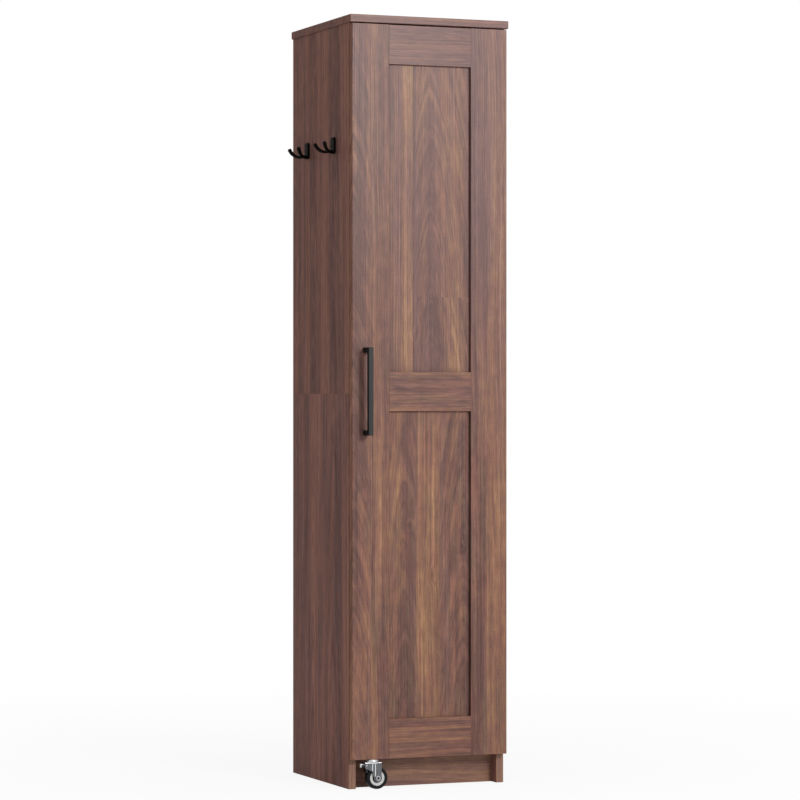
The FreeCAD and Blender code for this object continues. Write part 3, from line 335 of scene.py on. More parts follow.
class Finish:
    """A material under construction, around one Principled shader."""

    def __init__(self, name):
        self.material = bpy.data.materials.new(name)
        self.material.use_nodes = True
        self.tree = self.material.node_tree
        self.shader = next(n for n in self.tree.nodes if n.type == "BSDF_PRINCIPLED")
        self.output = next(n for n in self.tree.nodes if n.type == "OUTPUT_MATERIAL")

    def fill(self, node, sockets):
        """Set or link a node's inputs."""
        for key, value in sockets.items():
            if isinstance(value, Wire):
                self.tree.links.new(value.socket, node.inputs[key])
            else:
                node.inputs[key].default_value = value

    def node(self, kind, settings=None, sockets=None, output=0):
        """Add a node: its type, its settings, the values or links of its inputs, and the output wanted."""
        made = self.tree.nodes.new(kind)
        for key, value in (settings or {}).items():
            if key == "stops":
                while len(made.color_ramp.elements) < len(value):
                    made.color_ramp.elements.new(1.0)
                for element, (place, colour) in zip(made.color_ramp.elements, value):
                    element.position = place
                    element.color = colour
            elif key == "interpolation" and kind == "ShaderNodeValToRGB":
                made.color_ramp.interpolation = value
            else:
                setattr(made, key, value)
        self.fill(made, sockets or {})
        return Wire(self, made.outputs[output])

    def set(self, **sockets):
        """Set or link the Principled shader's inputs, with _ for a space."""
        self.fill(self.shader, {key.replace("_", " "): value for key, value in sockets.items()})

    def axes(self):
        """The object's own x, y and z, in metres."""
        place = self.node("ShaderNodeTexCoord", output=3)
        return [self.node("ShaderNodeSeparateXYZ", None, {0: place}, axis) for axis in (X, Y, Z)]

    def point(self, x, y, z):
        return self.node("ShaderNodeCombineXYZ", None, {0: x, 1: y, 2: z})

    def noise(self, point, detail=2.0, roughness=0.5):
        sockets = {"Vector": point, "Scale": 1.0, "Detail": detail, "Roughness": roughness}
        return self.node("ShaderNodeTexNoise", None, sockets)

    def skin(self, grains, upright=None, detail=3.0, roughness=0.5):
        """Noise of so many grains to a metre, or of another number upright."""
        x, y, z = self.axes()
        return self.noise(self.point(x * grains, y * grains, z * (upright or grains)), detail, roughness)

    def stretch(self, value, low, high, to_low=0.0, to_high=1.0):
        """Map a range of values onto another, held at its ends."""
        sockets = {0: value, 1: low, 2: high, 3: to_low, 4: to_high}
        return self.node("ShaderNodeMapRange", {"clamp": True}, sockets)

    def spread(self, noise, to_low=0.0, to_high=1.0):
        """Map the range in which most noise lies onto another."""
        return self.stretch(noise, *NOISE_REACH, to_low, to_high)

    def ramp(self, value, stops, interpolation="LINEAR"):
        return self.node("ShaderNodeValToRGB", {"stops": stops, "interpolation": interpolation}, {0: value})

    def mix(self, factor, first, second, blend="MIX"):
        settings = {"data_type": "RGBA", "blend_type": blend}
        return self.node("ShaderNodeMix", settings, {0: factor, 6: first, 7: second}, 2)

    def speckled(self, noise, dark, pale):
        """A colour that goes with noise from a dark one to a pale one."""
        return self.mix(self.spread(noise), shade(*dark), shade(*pale))

    def clouded(self, colour, clouds, depth):
        """A colour with darker clouds, so many to a metre."""
        cloud = self.stretch(self.skin(clouds, detail=2.0), *CLOUD_REACH)
        return self.mix(cloud * depth, shade(*colour), BLACK)

    def bump(self, height, strength, distance):
        sockets = {"Strength": strength, "Distance": distance, "Height": height}
        return self.node("ShaderNodeBump", None, sockets)


# Walnut

class WalnutBoard(Finish):
    """The walnut print of one board, with places across it counted from its low edge."""

    def __init__(self, node, lay):
        super().__init__("walnut_" + node)
        grain, width = lay
        depth = X + Y + Z - grain - width
        low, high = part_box(node)
        axes = self.axes()
        self.height = axes[Z]
        self.along = axes[grain]
        self.across = axes[width] - low[width]
        self.through = axes[depth] - low[depth]
        self.share = self.across / (high[width] - low[width])
        self.front = axes[Y] - low[Y] < SHEEN_DEPTH
        self.start = BOARD_SHIFT * sum(low)

    def marks(self, kind, across, start):
        """Marks of one kind, drawn out along the grain."""
        if kind.solid:
            start = start + self.through * kind.across
        if kind.layer:
            start = start + kind.layer
        place = self.point(across * kind.across, self.along * kind.along, start)
        marks = self.noise(place, kind.detail, kind.roughness)
        return self.stretch(marks, *kind.reach) if kind.reach else marks

    def swayed(self, kind):
        """Marks of one kind that follow the wander of the growth rings."""
        return self.marks(kind, self.across + self.wander * (SWAY / kind.across), self.start)

    def grow(self, hearts, butt, knots):
        """Lay out the planks, their growth rings and the knots, which push rings and fibres aside."""
        planks = [(share, ((heart + 1) / 2, (PLANK_SEED_STEP * n + PLANK_SEED) % 1, taper, 1))
                  for n, (share, (heart, taper)) in enumerate(hearts)]
        plank = self.ramp(self.share, planks, "CONSTANT")
        heart, seed, taper = (self.node("ShaderNodeSeparateColor", None, {0: plank}, n) for n in range(3))
        self.start = seed * PLANK_SHIFT + self.start
        if butt:
            share, height = butt
            self.start = self.start + (self.share > share) * (self.along < height) * BUTT_SHIFT
        away = self.across - (heart * 2 - 1) + self.through
        self.wander = self.marks(WANDER, self.across, self.start)
        self.rings = (away * away + HEART_DEPTH ** 2) ** 0.5 + self.along * taper
        self.rings = self.rings + self.wander * WANDER.strength
        self.knot_ink = 0.0
        for across, along in knots:
            near = self.knot(self.across - across, self.along - along)
            self.rings = self.rings + near * KNOT_SWELL
            self.knot_ink = near ** KNOT_FADE * KNOT_INK + self.knot_ink
            self.across = self.across - near * (self.across - across) * KNOT_PULL

    def knot(self, across, along):
        """A round swelling in the grain, drawn out along it: one at its middle, fading to nought."""
        squared = across * across + along * along * KNOT_STRETCH ** 2
        return self.node("ShaderNodeMath", {"operation": "EXPONENT"}, {0: squared / -KNOT_SIZE ** 2})

    def tone(self, tones):
        """How pale the print is: its tones across the board, with bands, stripes and mottle about them."""
        stops = [(share, [(tone - RECESS_SHADE) / TONE_SPAN] * 3 + [1]) for share, tone in tones]
        plain = self.ramp(self.share, stops) * TONE_SPAN + RECESS_SHADE
        streaks = swing(self.marks(BANDS, self.rings, self.start), BANDS)
        streaks = streaks + swing(self.swayed(STRIPES), STRIPES)
        for kind in (BROAD_STREAKS, MOTTLE):
            streaks = streaks + swing(self.marks(kind, self.across, self.start), kind)
        smudges = self.marks(SMUDGES, self.across, self.start)
        level = plain + streaks - smudges * SMUDGES.strength
        # Tones below nought, from RECESS_SHADE, are painted shade; elsewhere the grain is held above DARKEST
        return level.math("MAXIMUM", level, (plain > 0) * DARKEST)

    def colour(self, tone, mauve, cool, pink):
        """The print's colour at a tone, turned in places to mauve, olive or rose, with painted sheen and
        shade.
        """
        wood = self.ramp(tone, [(place, shade(*colour)) for place, colour in WALNUT_SHADES])
        # Painted sheen: a mauve cast by height standing in for reflected light, added to the print's mauve
        # streaks
        cooled = mauve * MAUVE_STREAKS.strength + self.stretch(self.height, *PAINTED_SHEEN_HEIGHTS, *cool)
        wood = self.mix(cooled, wood, shade(*WALNUT_MAUVE))
        tint = self.marks(TINTS, self.across, self.start)
        strength = TINTS.strength - cooled * TINT_UNDER_MAUVE
        for colour, reach in ((WALNUT_OLIVE, TINT_REACH), (WALNUT_ROSE, -TINT_REACH)):
            share = self.stretch(tint, NOISE_MIDDLE, NOISE_MIDDLE + reach)
            wood = self.mix(share * strength, wood, shade(*colour))
        # A pink cast painted as shade on the faces off the front, which the lamp leaves in shade
        if pink:
            share = self.stretch(tone, *SHADE_PINK_TONES, 0.0, pink)
            wood = self.mix(share * (1 - self.front), wood, shade(*WALNUT_SHADE_PINK))
        return wood


def swing(marks, kind):
    """How far marks lighten or darken the print about its mean."""
    return (marks - NOISE_MIDDLE) * kind.strength


def walnut(node, lay, tones, hearts, cool=(0.0, 0.0), knots=(), butt=None, pink=0.0):
    """The walnut print on one board, with a sheen on its front.

    tones are (share across the board, tone) pairs, hearts the (share, (middle of the growth rings in
    metres, their taper along the grain)) of each plank, cool the share of mauve painted as a sheen
    of reflected light at the foot and the head of the cupboard, and knots are (metres across, height along
    the grain). butt is the (share, height) past and below which other planks begin, and pink the
    share of WALNUT_SHADE_PINK, a cast of shade painted in the pale stripes off the front."""
    board = WalnutBoard(node, lay)
    board.grow(hearts, butt, knots)
    mauve = board.marks(MAUVE_STREAKS, board.across, board.start)
    wood = board.colour(board.tone(tones), mauve, cool, pink)
    lines = board.marks(LINES, board.rings, board.start)
    fine = board.marks(FINE_GRAIN, board.across, 0.0)
    pores = board.marks(PORES, board.across, 0.0)
    fibres = (board.swayed(FIBRES) - NOISE_MIDDLE) * (mauve * MAUVE_FIBRES + FIBRES.strength)
    ink = swing(lines, LINES) + fibres + swing(fine, FINE_GRAIN) - pores * PORES.strength - board.knot_ink
    relief = fine * FINE_RELIEF - pores
    board.set(Base_Color=board.mix(1.0, wood, ink + 1.0, "MULTIPLY"), Specular_IOR_Level=WALNUT_GLOSS,
              Roughness=board.stretch(lines, 0.0, 1.0, *WALNUT_ROUGHNESS),
              Normal=board.bump(relief, RELIEF, RELIEF_DEPTH),
              Coat_Weight=board.front * SHEEN, Coat_Roughness=SHEEN_ROUGHNESS)
    return board.material


def paint_walnut():
    """Every walnut board, with planks, stripes and knots placed as the photograph shows them."""
    upper_seam = 0.317
    left_seam = 0.35
    right_seam = 0.62
    stile_seam = 0.45
    side_upper = [(0.0, 1.0), (0.2, 0.3), (0.33, 0.4), (0.37, 0.85), (0.5, 0.7), (0.55, 0.4), (0.66, 0.4),
                  (0.73, 0.85), (0.82, 0.4), (1.0, 0.55)]
    side_lower = [(0.0, 1.0), (0.15, 0.4), (0.24, 0.4), (0.27, 0.85), (0.38, 0.55), (0.5, 0.55),
                  (0.6, 0.95), (0.7, 0.4), (1.0, 0.55)]
    side_hearts = [(0.0, (0.1, 0.06)), (0.37, STRAIGHT), (0.54, (0.24, 0.06)), (0.71, STRAIGHT)]
    upper_panel = [(0.0, 0.15), (0.1, 0.2), (0.18, 0.45), (0.23, 0.8), (upper_seam, 0.8),
                   (upper_seam + JOINT, 0.1), (0.45, 0.4), (0.53, 0.1), (0.65, 0.4), (0.83, 0.8),
                   (0.94, 0.2)]
    upper_hearts = [(0.0, STRAIGHT), (upper_seam, (0.117, 0.18))]
    lower_panel = [(0.0, 0.45), (0.1, 0.35), (0.18, 0.35), (0.27, 0.2), (left_seam, 0.25),
                   (left_seam + JOINT, 0.6), (right_seam, 0.55), (right_seam + JOINT, 0.35), (0.78, 0.4),
                   (0.94, 0.05)]
    lower_hearts = [(0.0, (0.05, 0.12)), (left_seam, STRAIGHT), (right_seam, (0.2, 0.17))]
    # RECESS_SHADE at the stiles' inner edges and under the top and middle rails paints shade on the walls
    # round the panels
    left_stile = [(0.0, 0.65), (JOINT, 0.3), (0.2, 0.25), (0.5, 0.45), (0.6, 0.6), (0.7, 0.45),
                  (0.88, 0.25), (1 - JOINT, 0.5), (1.0, RECESS_SHADE)]
    left_hearts = [(0.0, (-0.005, 0.24)), (0.5, STRAIGHT)]
    right_stile = [(0.0, RECESS_SHADE), (JOINT, 0.3), (0.1, 0.25), (stile_seam, 0.35), (stile_seam + JOINT, 0.5),
                   (0.7, 0.7), (1.0, 0.6)]
    right_hearts = [(0.0, STRAIGHT), (stile_seam, (-0.2, 0.03))]
    top_rail = [(0.0, RECESS_SHADE), (JOINT, 0.35), (0.25, 0.5), (0.58, 0.45), (0.68, 0.15), (0.75, 0.35),
                (0.87, 0.2), (1.0, 0.4)]
    top_hearts = [(0.0, STRAIGHT), (0.7, (0.06, 0.06))]
    middle_rail = [(0.0, RECESS_SHADE), (JOINT, 0.6), (0.2, 0.4), (0.45, 0.3), (0.55, 0.15), (0.65, 0.45),
                   (0.8, 0.2), (1.0, 0.6)]
    middle_hearts = [(0.0, (0.05, 0.05))]
    bottom_rail = [(0.0, 0.4), (0.38, 0.3), (0.48, 0.6), (0.6, 0.45), (0.67, 0.0), (0.72, 0.45),
                   (0.87, 0.1), (1.0, 0.55)]
    plinth = [(0.0, 0.7), (0.5, 0.75), (0.65, 0.9), (1.0, 0.75)]
    plain = [(0.0, 0.44), (0.3, 0.48), (0.5, 0.4), (0.7, 0.48), (1.0, 0.44)]
    straight = [(0.0, STRAIGHT)]

    def board(name, lay, tones, hearts=straight, **look):
        paint(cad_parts[name], walnut(name, lay, tones, hearts, **look))

    # cool paints a greyish mauve sheen of reflected light on each board, rising up the door's stiles
    for side in ("left_side", "right_side"):
        # pink paints a pink cast of shade on the sides' faces off the front
        board(side + "_upper", LAY_SIDE, side_upper, side_hearts, cool=(0.38, 0.38), pink=SIDE_SHADE_PINK)
        board(side + "_lower", LAY_SIDE, side_lower, side_hearts, cool=(0.5, 0.5), pink=SIDE_SHADE_PINK)
    # The door's outer edge gets the same pink cast painted as shade
    board("door_left_stile", LAY_UPRIGHT, left_stile, left_hearts, cool=(0.0, 0.12), pink=DOOR_EDGE_SHADE_PINK)
    board("door_right_stile", LAY_UPRIGHT, right_stile, right_hearts, cool=(0.0, 0.5))
    board("door_top_rail", LAY_LEVEL, top_rail, top_hearts, cool=(0.5, 0.5))
    board("door_middle_rail", LAY_LEVEL, middle_rail, middle_hearts, cool=(0.1, 0.1))
    board("door_bottom_rail", LAY_LEVEL, bottom_rail)
    board("door_upper_panel", LAY_UPRIGHT, upper_panel, upper_hearts, cool=(0.25, 0.25),
          knots=[(0.08, 1.065)], butt=(upper_seam, 1.146))
    board("door_lower_panel", LAY_UPRIGHT, lower_panel, lower_hearts,
          knots=[(0.061, 0.61), (0.197, 0.56), (0.121, 0.495)])
    board("top_panel", LAY_FLAT, plain, cool=(0.5, 0.5))
    board("plinth_front", LAY_LEVEL, plinth, cool=(0.4, 0.4))
    for name in ("bottom_panel", "upper_shelf"):
        board(name, LAY_FLAT, plain)
    for name in ("plinth_rear", "middle_rear_rail", "top_rear_rail"):
        board(name, LAY_LEVEL, plain)


def paint(piece, material):
    """Give a piece one material all over."""
    if not piece.data.materials:
        piece.data.materials.append(material)
    for slot in piece.material_slots:
        slot.material = material


# Other finishes

def metal(name, colour, roughness, metallic=1.0, gloss=0.5):
    """A plated or coated metal with a fine uneven skin."""
    finish = Finish(name)
    skin = finish.skin(COATED_SKIN)
    smoothest = roughness * (1 - METAL_SPREAD)
    roughest = roughness * (1 + METAL_SPREAD)
    finish.set(Base_Color=finish.clouded(colour, METAL_CLOUDS, METAL_CLOUD_DEPTH), Metallic=metallic,
               Specular_IOR_Level=gloss, Normal=finish.bump(skin, METAL_BUMP, SKIN_DEPTH),
               Roughness=finish.spread(skin, smoothest, roughest))
    return finish.material


def moulded(name, colour, roughness, gloss=0.5, grains=MOULDED_SKIN):
    """A moulded plastic or rubber with a fine texture."""
    finish = Finish(name)
    skin = finish.skin(grains)
    smoothest = roughness * (1 - MOULDED_SPREAD)
    roughest = roughness * (1 + MOULDED_SPREAD)
    finish.set(Base_Color=finish.clouded(colour, MOULDED_CLOUDS, MOULDED_CLOUD_DEPTH),
               Specular_IOR_Level=gloss, Normal=finish.bump(skin, MOULDED_BUMP, SKIN_DEPTH),
               Roughness=finish.spread(skin, smoothest, roughest))
    return finish.material


def fibreboard(name):
    """The brown back sheets, with short pressed fibres."""
    finish = Finish(name)
    fibres = finish.skin(SHEET_FIBRES, upright=SHEET_FIBRES_UPRIGHT, detail=4.0, roughness=0.65)
    clouds = finish.stretch(finish.skin(SHEET_CLOUDS), *SHEET_CLOUD_REACH)
    base = finish.mix(finish.stretch(fibres, *SHEET_FIBRE_REACH), shade(*SHEET_DARK), shade(*SHEET_PALE))
    base = finish.mix(clouds * SHEET_CLOUD_DEPTH, base, shade(*SHEET_CLOUD))
    finish.set(Base_Color=base, Roughness=SHEET_ROUGHNESS,
               Normal=finish.bump(fibres, SHEET_BUMP, RELIEF_DEPTH))
    return finish.material


def satin_bar(name):
    """The handle's black coat, with a satin sheen on its front and dull sides."""
    finish = Finish(name)
    skin = finish.skin(COATED_SKIN)
    front = finish.axes()[Y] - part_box("door_handle")[0].y < SHEEN_DEPTH
    finish.set(Base_Color=finish.speckled(skin, BAR_DARK, BAR_PALE), Specular_IOR_Level=BAR_GLOSS,
               Roughness=finish.spread(skin, *BAR_ROUGHNESS),
               Normal=finish.bump(skin, METAL_BUMP, SKIN_DEPTH),
               Coat_Weight=front * BAR_SHEEN, Coat_Roughness=BAR_SHEEN_ROUGHNESS)
    return finish.material


def pressed_lever(name):
    """The brake lever: bright plate on its pedal and bracket, with painted shade on its lower part along the
    tyre.
    """
    finish = Finish(name)
    low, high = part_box("caster_brake_lever")
    skin = finish.skin(PRESSED_SKIN)
    shaded_shoe = finish.axes()[Z] < low.z + (high.z - low.z) * LEVER_SHADE_HEIGHT
    # The lower part, along the tyre, is painted shade rather than plate
    dull = finish.speckled(skin, SHOE_SHADE_DARK, SHOE_SHADE_PALE)
    finish.set(Base_Color=finish.mix(shaded_shoe, shade(*BRIGHT_PLATE), dull), Metallic=1.0,
               Roughness=finish.spread(skin, *PRESSED_ROUGHNESS))
    return finish.material


def pressed_fork(name):
    """The caster's fork: bright plate on its top and the crests of its ribs, with speckled painted shade on
    the rest of its legs.
    """
    finish = Finish(name)
    low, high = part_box("caster_fork")
    x, y, z = finish.axes()
    out = finish.node("ShaderNodeMath", {"operation": "ABSOLUTE"}, {0: y - (low.y + high.y) / 2})
    # Painted shade on the legs below the top, all but the crests of the ribs
    shaded_legs = (out < FORK_LEG_FACE) * (z < high.z - FORK_TOP_EDGE)
    skin = finish.skin(COATED_SKIN, upright=BRUSHED_SKIN)
    dark = finish.speckled(skin, LEG_SHADE_DARK, LEG_SHADE_PALE)
    finish.set(Base_Color=finish.mix(shaded_legs, shade(*BRIGHT_PLATE), dark), Metallic=1.0,
               Roughness=finish.spread(skin, *PRESSED_ROUGHNESS))
    return finish.material


def off_axle(finish, node):
    """The distance from the axle through the middle of a node."""
    low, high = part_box(node)
    x, y, z = finish.axes()
    across = x - (low.x + high.x) / 2
    up = z - (low.z + high.z) / 2
    return (across * across + up * up) ** 0.5


def dished_head(name):
    """The axle bolt: bright plate round painted shade and dark reflection in the dish of its head."""
    finish = Finish(name)
    node = "caster_axle_bolt"
    inside = off_axle(finish, node) < DISH_RADIUS
    # The dish, to a little past its depth, takes painted shade and dark reflection
    dish = inside * (finish.axes()[Y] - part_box(node)[0].y < DISH_DEPTH * DISH_MARGIN)
    skin = finish.skin(PRESSED_SKIN)
    plate = finish.speckled(skin, BOLT_DARK, BOLT_PALE)
    finish.set(Base_Color=finish.mix(dish, plate, shade(*DISH_SHADE)), Metallic=1.0,
               Roughness=finish.spread(skin, *BOLT_ROUGHNESS))
    return finish.material


def wheel_plastic(name):
    """The wheel's moulded centre: a pale ring round painted shade on the web and boss behind the fork."""
    finish = Finish(name)
    skin = finish.skin(MOULDED_SKIN)
    ring = finish.stretch(off_axle(finish, "caster_wheel_hub"), WHEEL_RING - RING_BLEND, WHEEL_RING)
    pale = finish.mix(finish.spread(skin) * WHEEL_SPECKLE, shade(*WHEEL_PALE), BLACK)
    # Inside the ring the hub is painted shade, where the fork leaves it in shade
    finish.set(Base_Color=finish.mix(ring, shade(*WHEEL_WEB_SHADE), pale), Specular_IOR_Level=WHEEL_GLOSS,
               Roughness=finish.spread(skin, *WHEEL_ROUGHNESS))
    return finish.material


# How each fitting's finish is made, from what, and the nodes that have it
FITTINGS = {
    "fibre_back": (fibreboard, {}, ["back_panel_upper", "back_panel_lower"]),
    "beech_dowel": (moulded, {"colour": (206, 170, 128), "roughness": 0.6}, ["side_dowels"]),
    "black_bar": (satin_bar, {}, ["door_handle"]),
    "black_hook": (metal, {"colour": (17, 14, 12), "roughness": 0.5, "metallic": 0.0, "gloss": 0.03},
                   ["hook_front", "hook_rear", "hook_screws"]),
    "zinc_plate": (metal, {"colour": (222, 223, 226), "roughness": 0.3, "metallic": 0.8},
                   ["side_joint_ties", "tie_screws", "hinge_plate_screws", "catch_screws", "handle_screws",
                    "cam_locks", "cam_bolts", "strike_plate", "strike_screw", "catch_poles",
                    "caster_brake_pin", "caster_stem"]),
    "dull_zinc": (metal, {"colour": (116, 117, 120), "roughness": 0.34},
                  ["caster_axle_nut", "caster_axle_sleeve"]),
    "dished_head": (dished_head, {}, ["caster_axle_bolt"]),
    "pressed_lever": (pressed_lever, {}, ["caster_brake_lever"]),
    "pressed_fork": (pressed_fork, {}, ["caster_fork"]),
    "nickel_plate": (metal, {"colour": (204, 201, 196), "roughness": 0.3, "metallic": 0.7},
                     ["hinge_arms", "hinge_plates", "hinge_cups", "hinge_pins", "shelf_pins"]),
    "brown_moulding": (moulded, {"colour": (96, 68, 54), "roughness": 0.5}, ["catch_body"]),
    "dark_magnet": (moulded, {"colour": (52, 50, 50), "roughness": 0.55}, ["catch_magnet"]),
    "clear_bumper": (moulded, {"colour": (206, 204, 196), "roughness": 0.35}, ["door_bumpers"]),
    "white_nylon": (moulded, {"colour": (226, 225, 220), "roughness": 0.4},
                    ["caster_swivel_washer", "caster_socket"]),
    "wheel_plastic": (wheel_plastic, {}, ["caster_wheel_hub"]),
    "black_rubber": (moulded, {"colour": (18, 18, 19), "roughness": 0.6, "gloss": 0.15,
                               "grains": RUBBER_SKIN}, ["caster_tyre"]),
}


def paint_fittings():
    """Make the fittings' materials, set them on their nodes and give them by name."""
    finishes = {}
    for name, (make, look, nodes) in FITTINGS.items():
        finishes[name] = make(name, **look)
        for node in nodes:
            paint(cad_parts[node], finishes[name])
    return finishes


# New pieces

def make_piece(name, shape, node, finish, sharp=35.0):
    """Close a shape, face it outwards, smooth all but its sharp edges and put it in a CAD node's place."""
    bmesh.ops.remove_doubles(shape, verts=shape.verts, dist=MERGE)
    bmesh.ops.recalc_face_normals(shape, faces=shape.faces)
    for face in shape.faces:
        face.smooth = True
    for edge in shape.edges:
        edge.smooth = edge.calc_face_angle(0.0) < math.radians(sharp)
    piece = put_mesh(name, shape)
    paint(piece, finish)
    body, slot = PIECE_HOMES[node]
    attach(piece, body)
    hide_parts(node)


def put_mesh(name, shape):
    """Put a finished shape into the scene as an object."""
    mesh = bpy.data.meshes.new(name)
    shape.to_mesh(mesh)
    shape.free()
    piece = bpy.data.objects.new(name, mesh)
    bpy.context.scene.collection.objects.link(piece)
    return piece


def solid_of(node):
    """A copy of a CAD node's shape, with its loose triangles joined."""
    shape = bmesh.new()
    shape.from_mesh(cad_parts[node].data)
    bmesh.ops.remove_doubles(shape, verts=shape.verts, dist=MERGE)
    return shape


def smooth_copy(node, finish, sharp=40.0):
    """A CAD solid again, with its many small flats shaded round."""
    make_piece(node + "_smooth", solid_of(node), node, finish, sharp)


def solids(node):
    """The box of each separate solid in a CAD node."""
    shape = solid_of(node)
    left = set(shape.verts)
    boxes = []
    while left:
        group = [left.pop()]
        for vert in group:
            near = {edge.other_vert(vert) for edge in vert.link_edges} & left
            left -= near
            group.extend(near)
        places = [vert.co for vert in group]
        boxes.append((tuple(map(min, zip(*places))), tuple(map(max, zip(*places)))))
    shape.free()
    return [(Vector(low), Vector(high)) for low, high in sorted(boxes)]


def new_verts(made):
    """The vertices among what an operator made."""
    return [item for item in made["geom"] if isinstance(item, bmesh.types.BMVert)]


def edges_among(shape, verts):
    """The edges that lie between some of a shape's vertices."""
    kept = set(verts)
    return [edge for edge in shape.edges if kept.issuperset(edge.verts)]


def open_edges(shape):
    """The edges round a shape's openings."""
    return [edge for edge in shape.edges if edge.is_boundary]


def ring_of(shape, edges, size, drop):
    """Carry a ring of edges on: the old ring grown by a factor and moved down, joined by new faces."""
    verts = new_verts(bmesh.ops.extrude_edge_only(shape, edges=edges))
    bmesh.ops.scale(shape, verts=verts, vec=(size, size, 1))
    bmesh.ops.translate(shape, verts=verts, vec=(0, 0, -drop))
    return edges_among(shape, verts)


def cross_screw(radius, length, outline):
    """A screw with a cross recess, its crown at the origin and its shank downwards. The recess takes the
    five middle cells of a grid of five by five."""
    shape = bmesh.new()
    cell = radius * CROSS_WIDTH
    bmesh.ops.create_grid(shape, x_segments=5, y_segments=5, size=cell * 2.5)
    cross = []
    for face in shape.faces:
        across, along = sorted(abs(part) for part in face.calc_center_median().xy)
        if across < cell / 2 and along < cell * 1.5:
            cross.append(face)
    floor = new_verts(bmesh.ops.extrude_face_region(shape, geom=cross))
    bmesh.ops.delete(shape, geom=cross, context="FACES")
    bmesh.ops.translate(shape, verts=floor, vec=(0, 0, -SCREW_HEAD * CROSS_DEPTH))
    bmesh.ops.scale(shape, verts=floor, vec=(CROSS_FLOOR, CROSS_FLOOR, 1))
    mouth = open_edges(shape)
    crown = bmesh.ops.create_circle(shape, cap_ends=False, radius=radius * SCREW_CROWN,
                                    segments=ROUND_STEPS)
    rim = edges_among(shape, crown["verts"])
    bmesh.ops.bridge_loops(shape, edges=mouth + rim)
    reach, depth = SCREW_CROWN, 0.0
    for out, down in outline:
        rim = ring_of(shape, rim, out / reach, SCREW_HEAD * (down - depth))
        reach, depth = out, down
    rim = ring_of(shape, rim, SCREW_SHANK, SCREW_HEAD * (1 - depth))
    rim = ring_of(shape, rim, 1.0, (length - SCREW_HEAD) * SCREW_STRAIGHT)
    ring_of(shape, rim, 0.0, (length - SCREW_HEAD) * (1 - SCREW_STRAIGHT))
    return shape


def put_screws(node, finish, axis, outward, outline=PAN_HEAD):
    """Cross-recess screws in place of a node's plain ones. outward is the head's way along the axis,
    or nought where the heads face the middle of the case."""
    boxes = solids(node)
    low, high = boxes[0]
    size = high - low
    radius = size[(axis + 1) % 3] / 2
    one = cross_screw(radius, size[axis], outline)
    pattern = bpy.data.meshes.new(node + "_pattern")
    one.to_mesh(pattern)
    one.free()
    shape = bmesh.new()
    for low, high in boxes:
        place = (low + high) / 2
        way = outward or (-1 if place[axis] > 0 else 1)
        place[axis] = high[axis] if way > 0 else low[axis]
        up = Vector((0, 0, 0))
        up[axis] = way
        turn = up.to_track_quat("Z", "Y").to_matrix().to_4x4()
        count = len(shape.verts)
        shape.from_mesh(pattern)
        shape.verts.ensure_lookup_table()
        bmesh.ops.transform(shape, matrix=Matrix.Translation(place) @ turn, verts=shape.verts[count:])
    bpy.data.meshes.remove(pattern)
    make_piece(node + "_crossed", shape, node, finish)


def turned(shape, profile, place, axis, steps, closed=False):
    """Turn a profile of (radius, height) points about an axis through a place."""
    put = Matrix.Translation(place) @ axis.to_track_quat("Z", "Y").to_matrix().to_4x4()
    verts = [shape.verts.new(put @ Vector((radius, 0, height))) for radius, height in profile]
    ends = verts[1:] + verts[:1] if closed else verts[1:]
    edges = [shape.edges.new(pair) for pair in zip(verts, ends)]
    bmesh.ops.spin(shape, geom=verts + edges, cent=place, axis=axis, angle=2 * math.pi, steps=steps,
                   use_merge=True)


def turned_wheel(near, middle):
    """A wheel turned from the near half of its profile."""
    shape = bmesh.new()
    far = [(radius, -along) for radius, along in reversed(near)]
    turned(shape, near + far, middle, BACK, WHEEL_STEPS, True)
    return shape


def make_wheel(finishes):
    """The tyre with rounded shoulders, and the hub with a lipped ring and a dished web."""
    low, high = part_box("caster_tyre")
    seat_low, seat_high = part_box("caster_wheel_hub")
    middle = (low + high) / 2
    radius = (high.z - low.z) / 2
    half = (high.y - low.y) / 2
    inner = (seat_high.z - seat_low.z) / 2
    boss = (seat_high.y - seat_low.y) / 2
    face = WHEEL_FACE / 2
    bead_width, bead_depth = TYRE_BEAD
    tyre = [(inner, -half + bead_depth), (inner + bead_width, -half)]
    tyre += [(radius - inward, -half + back) for inward, back in TYRE_SHOULDER]
    hub = [(HUB_BORE, -boss), (HUB_BOSS - HUB_CHAMFER, -boss), (HUB_BOSS, -boss + HUB_CHAMFER),
           (HUB_BOSS, -HUB_WEB), (WHEEL_RING, -HUB_WEB), (WHEEL_RING, -face + LIP_CHAMFER),
           (WHEEL_RING + LIP_CHAMFER, -face), (WHEEL_RING + LIP_CREST, -face),
           (WHEEL_RING + LIP_FOOT, -face + LIP_HEIGHT), (inner - LIP_FOOT, -face + LIP_HEIGHT),
           (inner - LIP_CREST, -face), (inner, -face)]
    make_piece("tyre_round", turned_wheel(tyre, middle), "caster_tyre", finishes["black_rubber"],
               sharp=40.0)
    make_piece("hub_round", turned_wheel(hub, middle), "caster_wheel_hub", finishes["wheel_plastic"],
               sharp=30.0)


def make_bumpers(finish):
    """Domed bumpers on the door's back."""
    shape = bmesh.new()
    for low, high in solids("door_bumpers"):
        radius = (high.x - low.x) / 2
        height = high.y - low.y
        foot = (low + high) / 2
        foot.y = low.y
        dome = [(radius * out, height * up) for out, up in BUMPER_DOME]
        turned(shape, dome, foot, BACK, ROUND_STEPS)
    make_piece("bumper_domes", shape, "door_bumpers", finish)


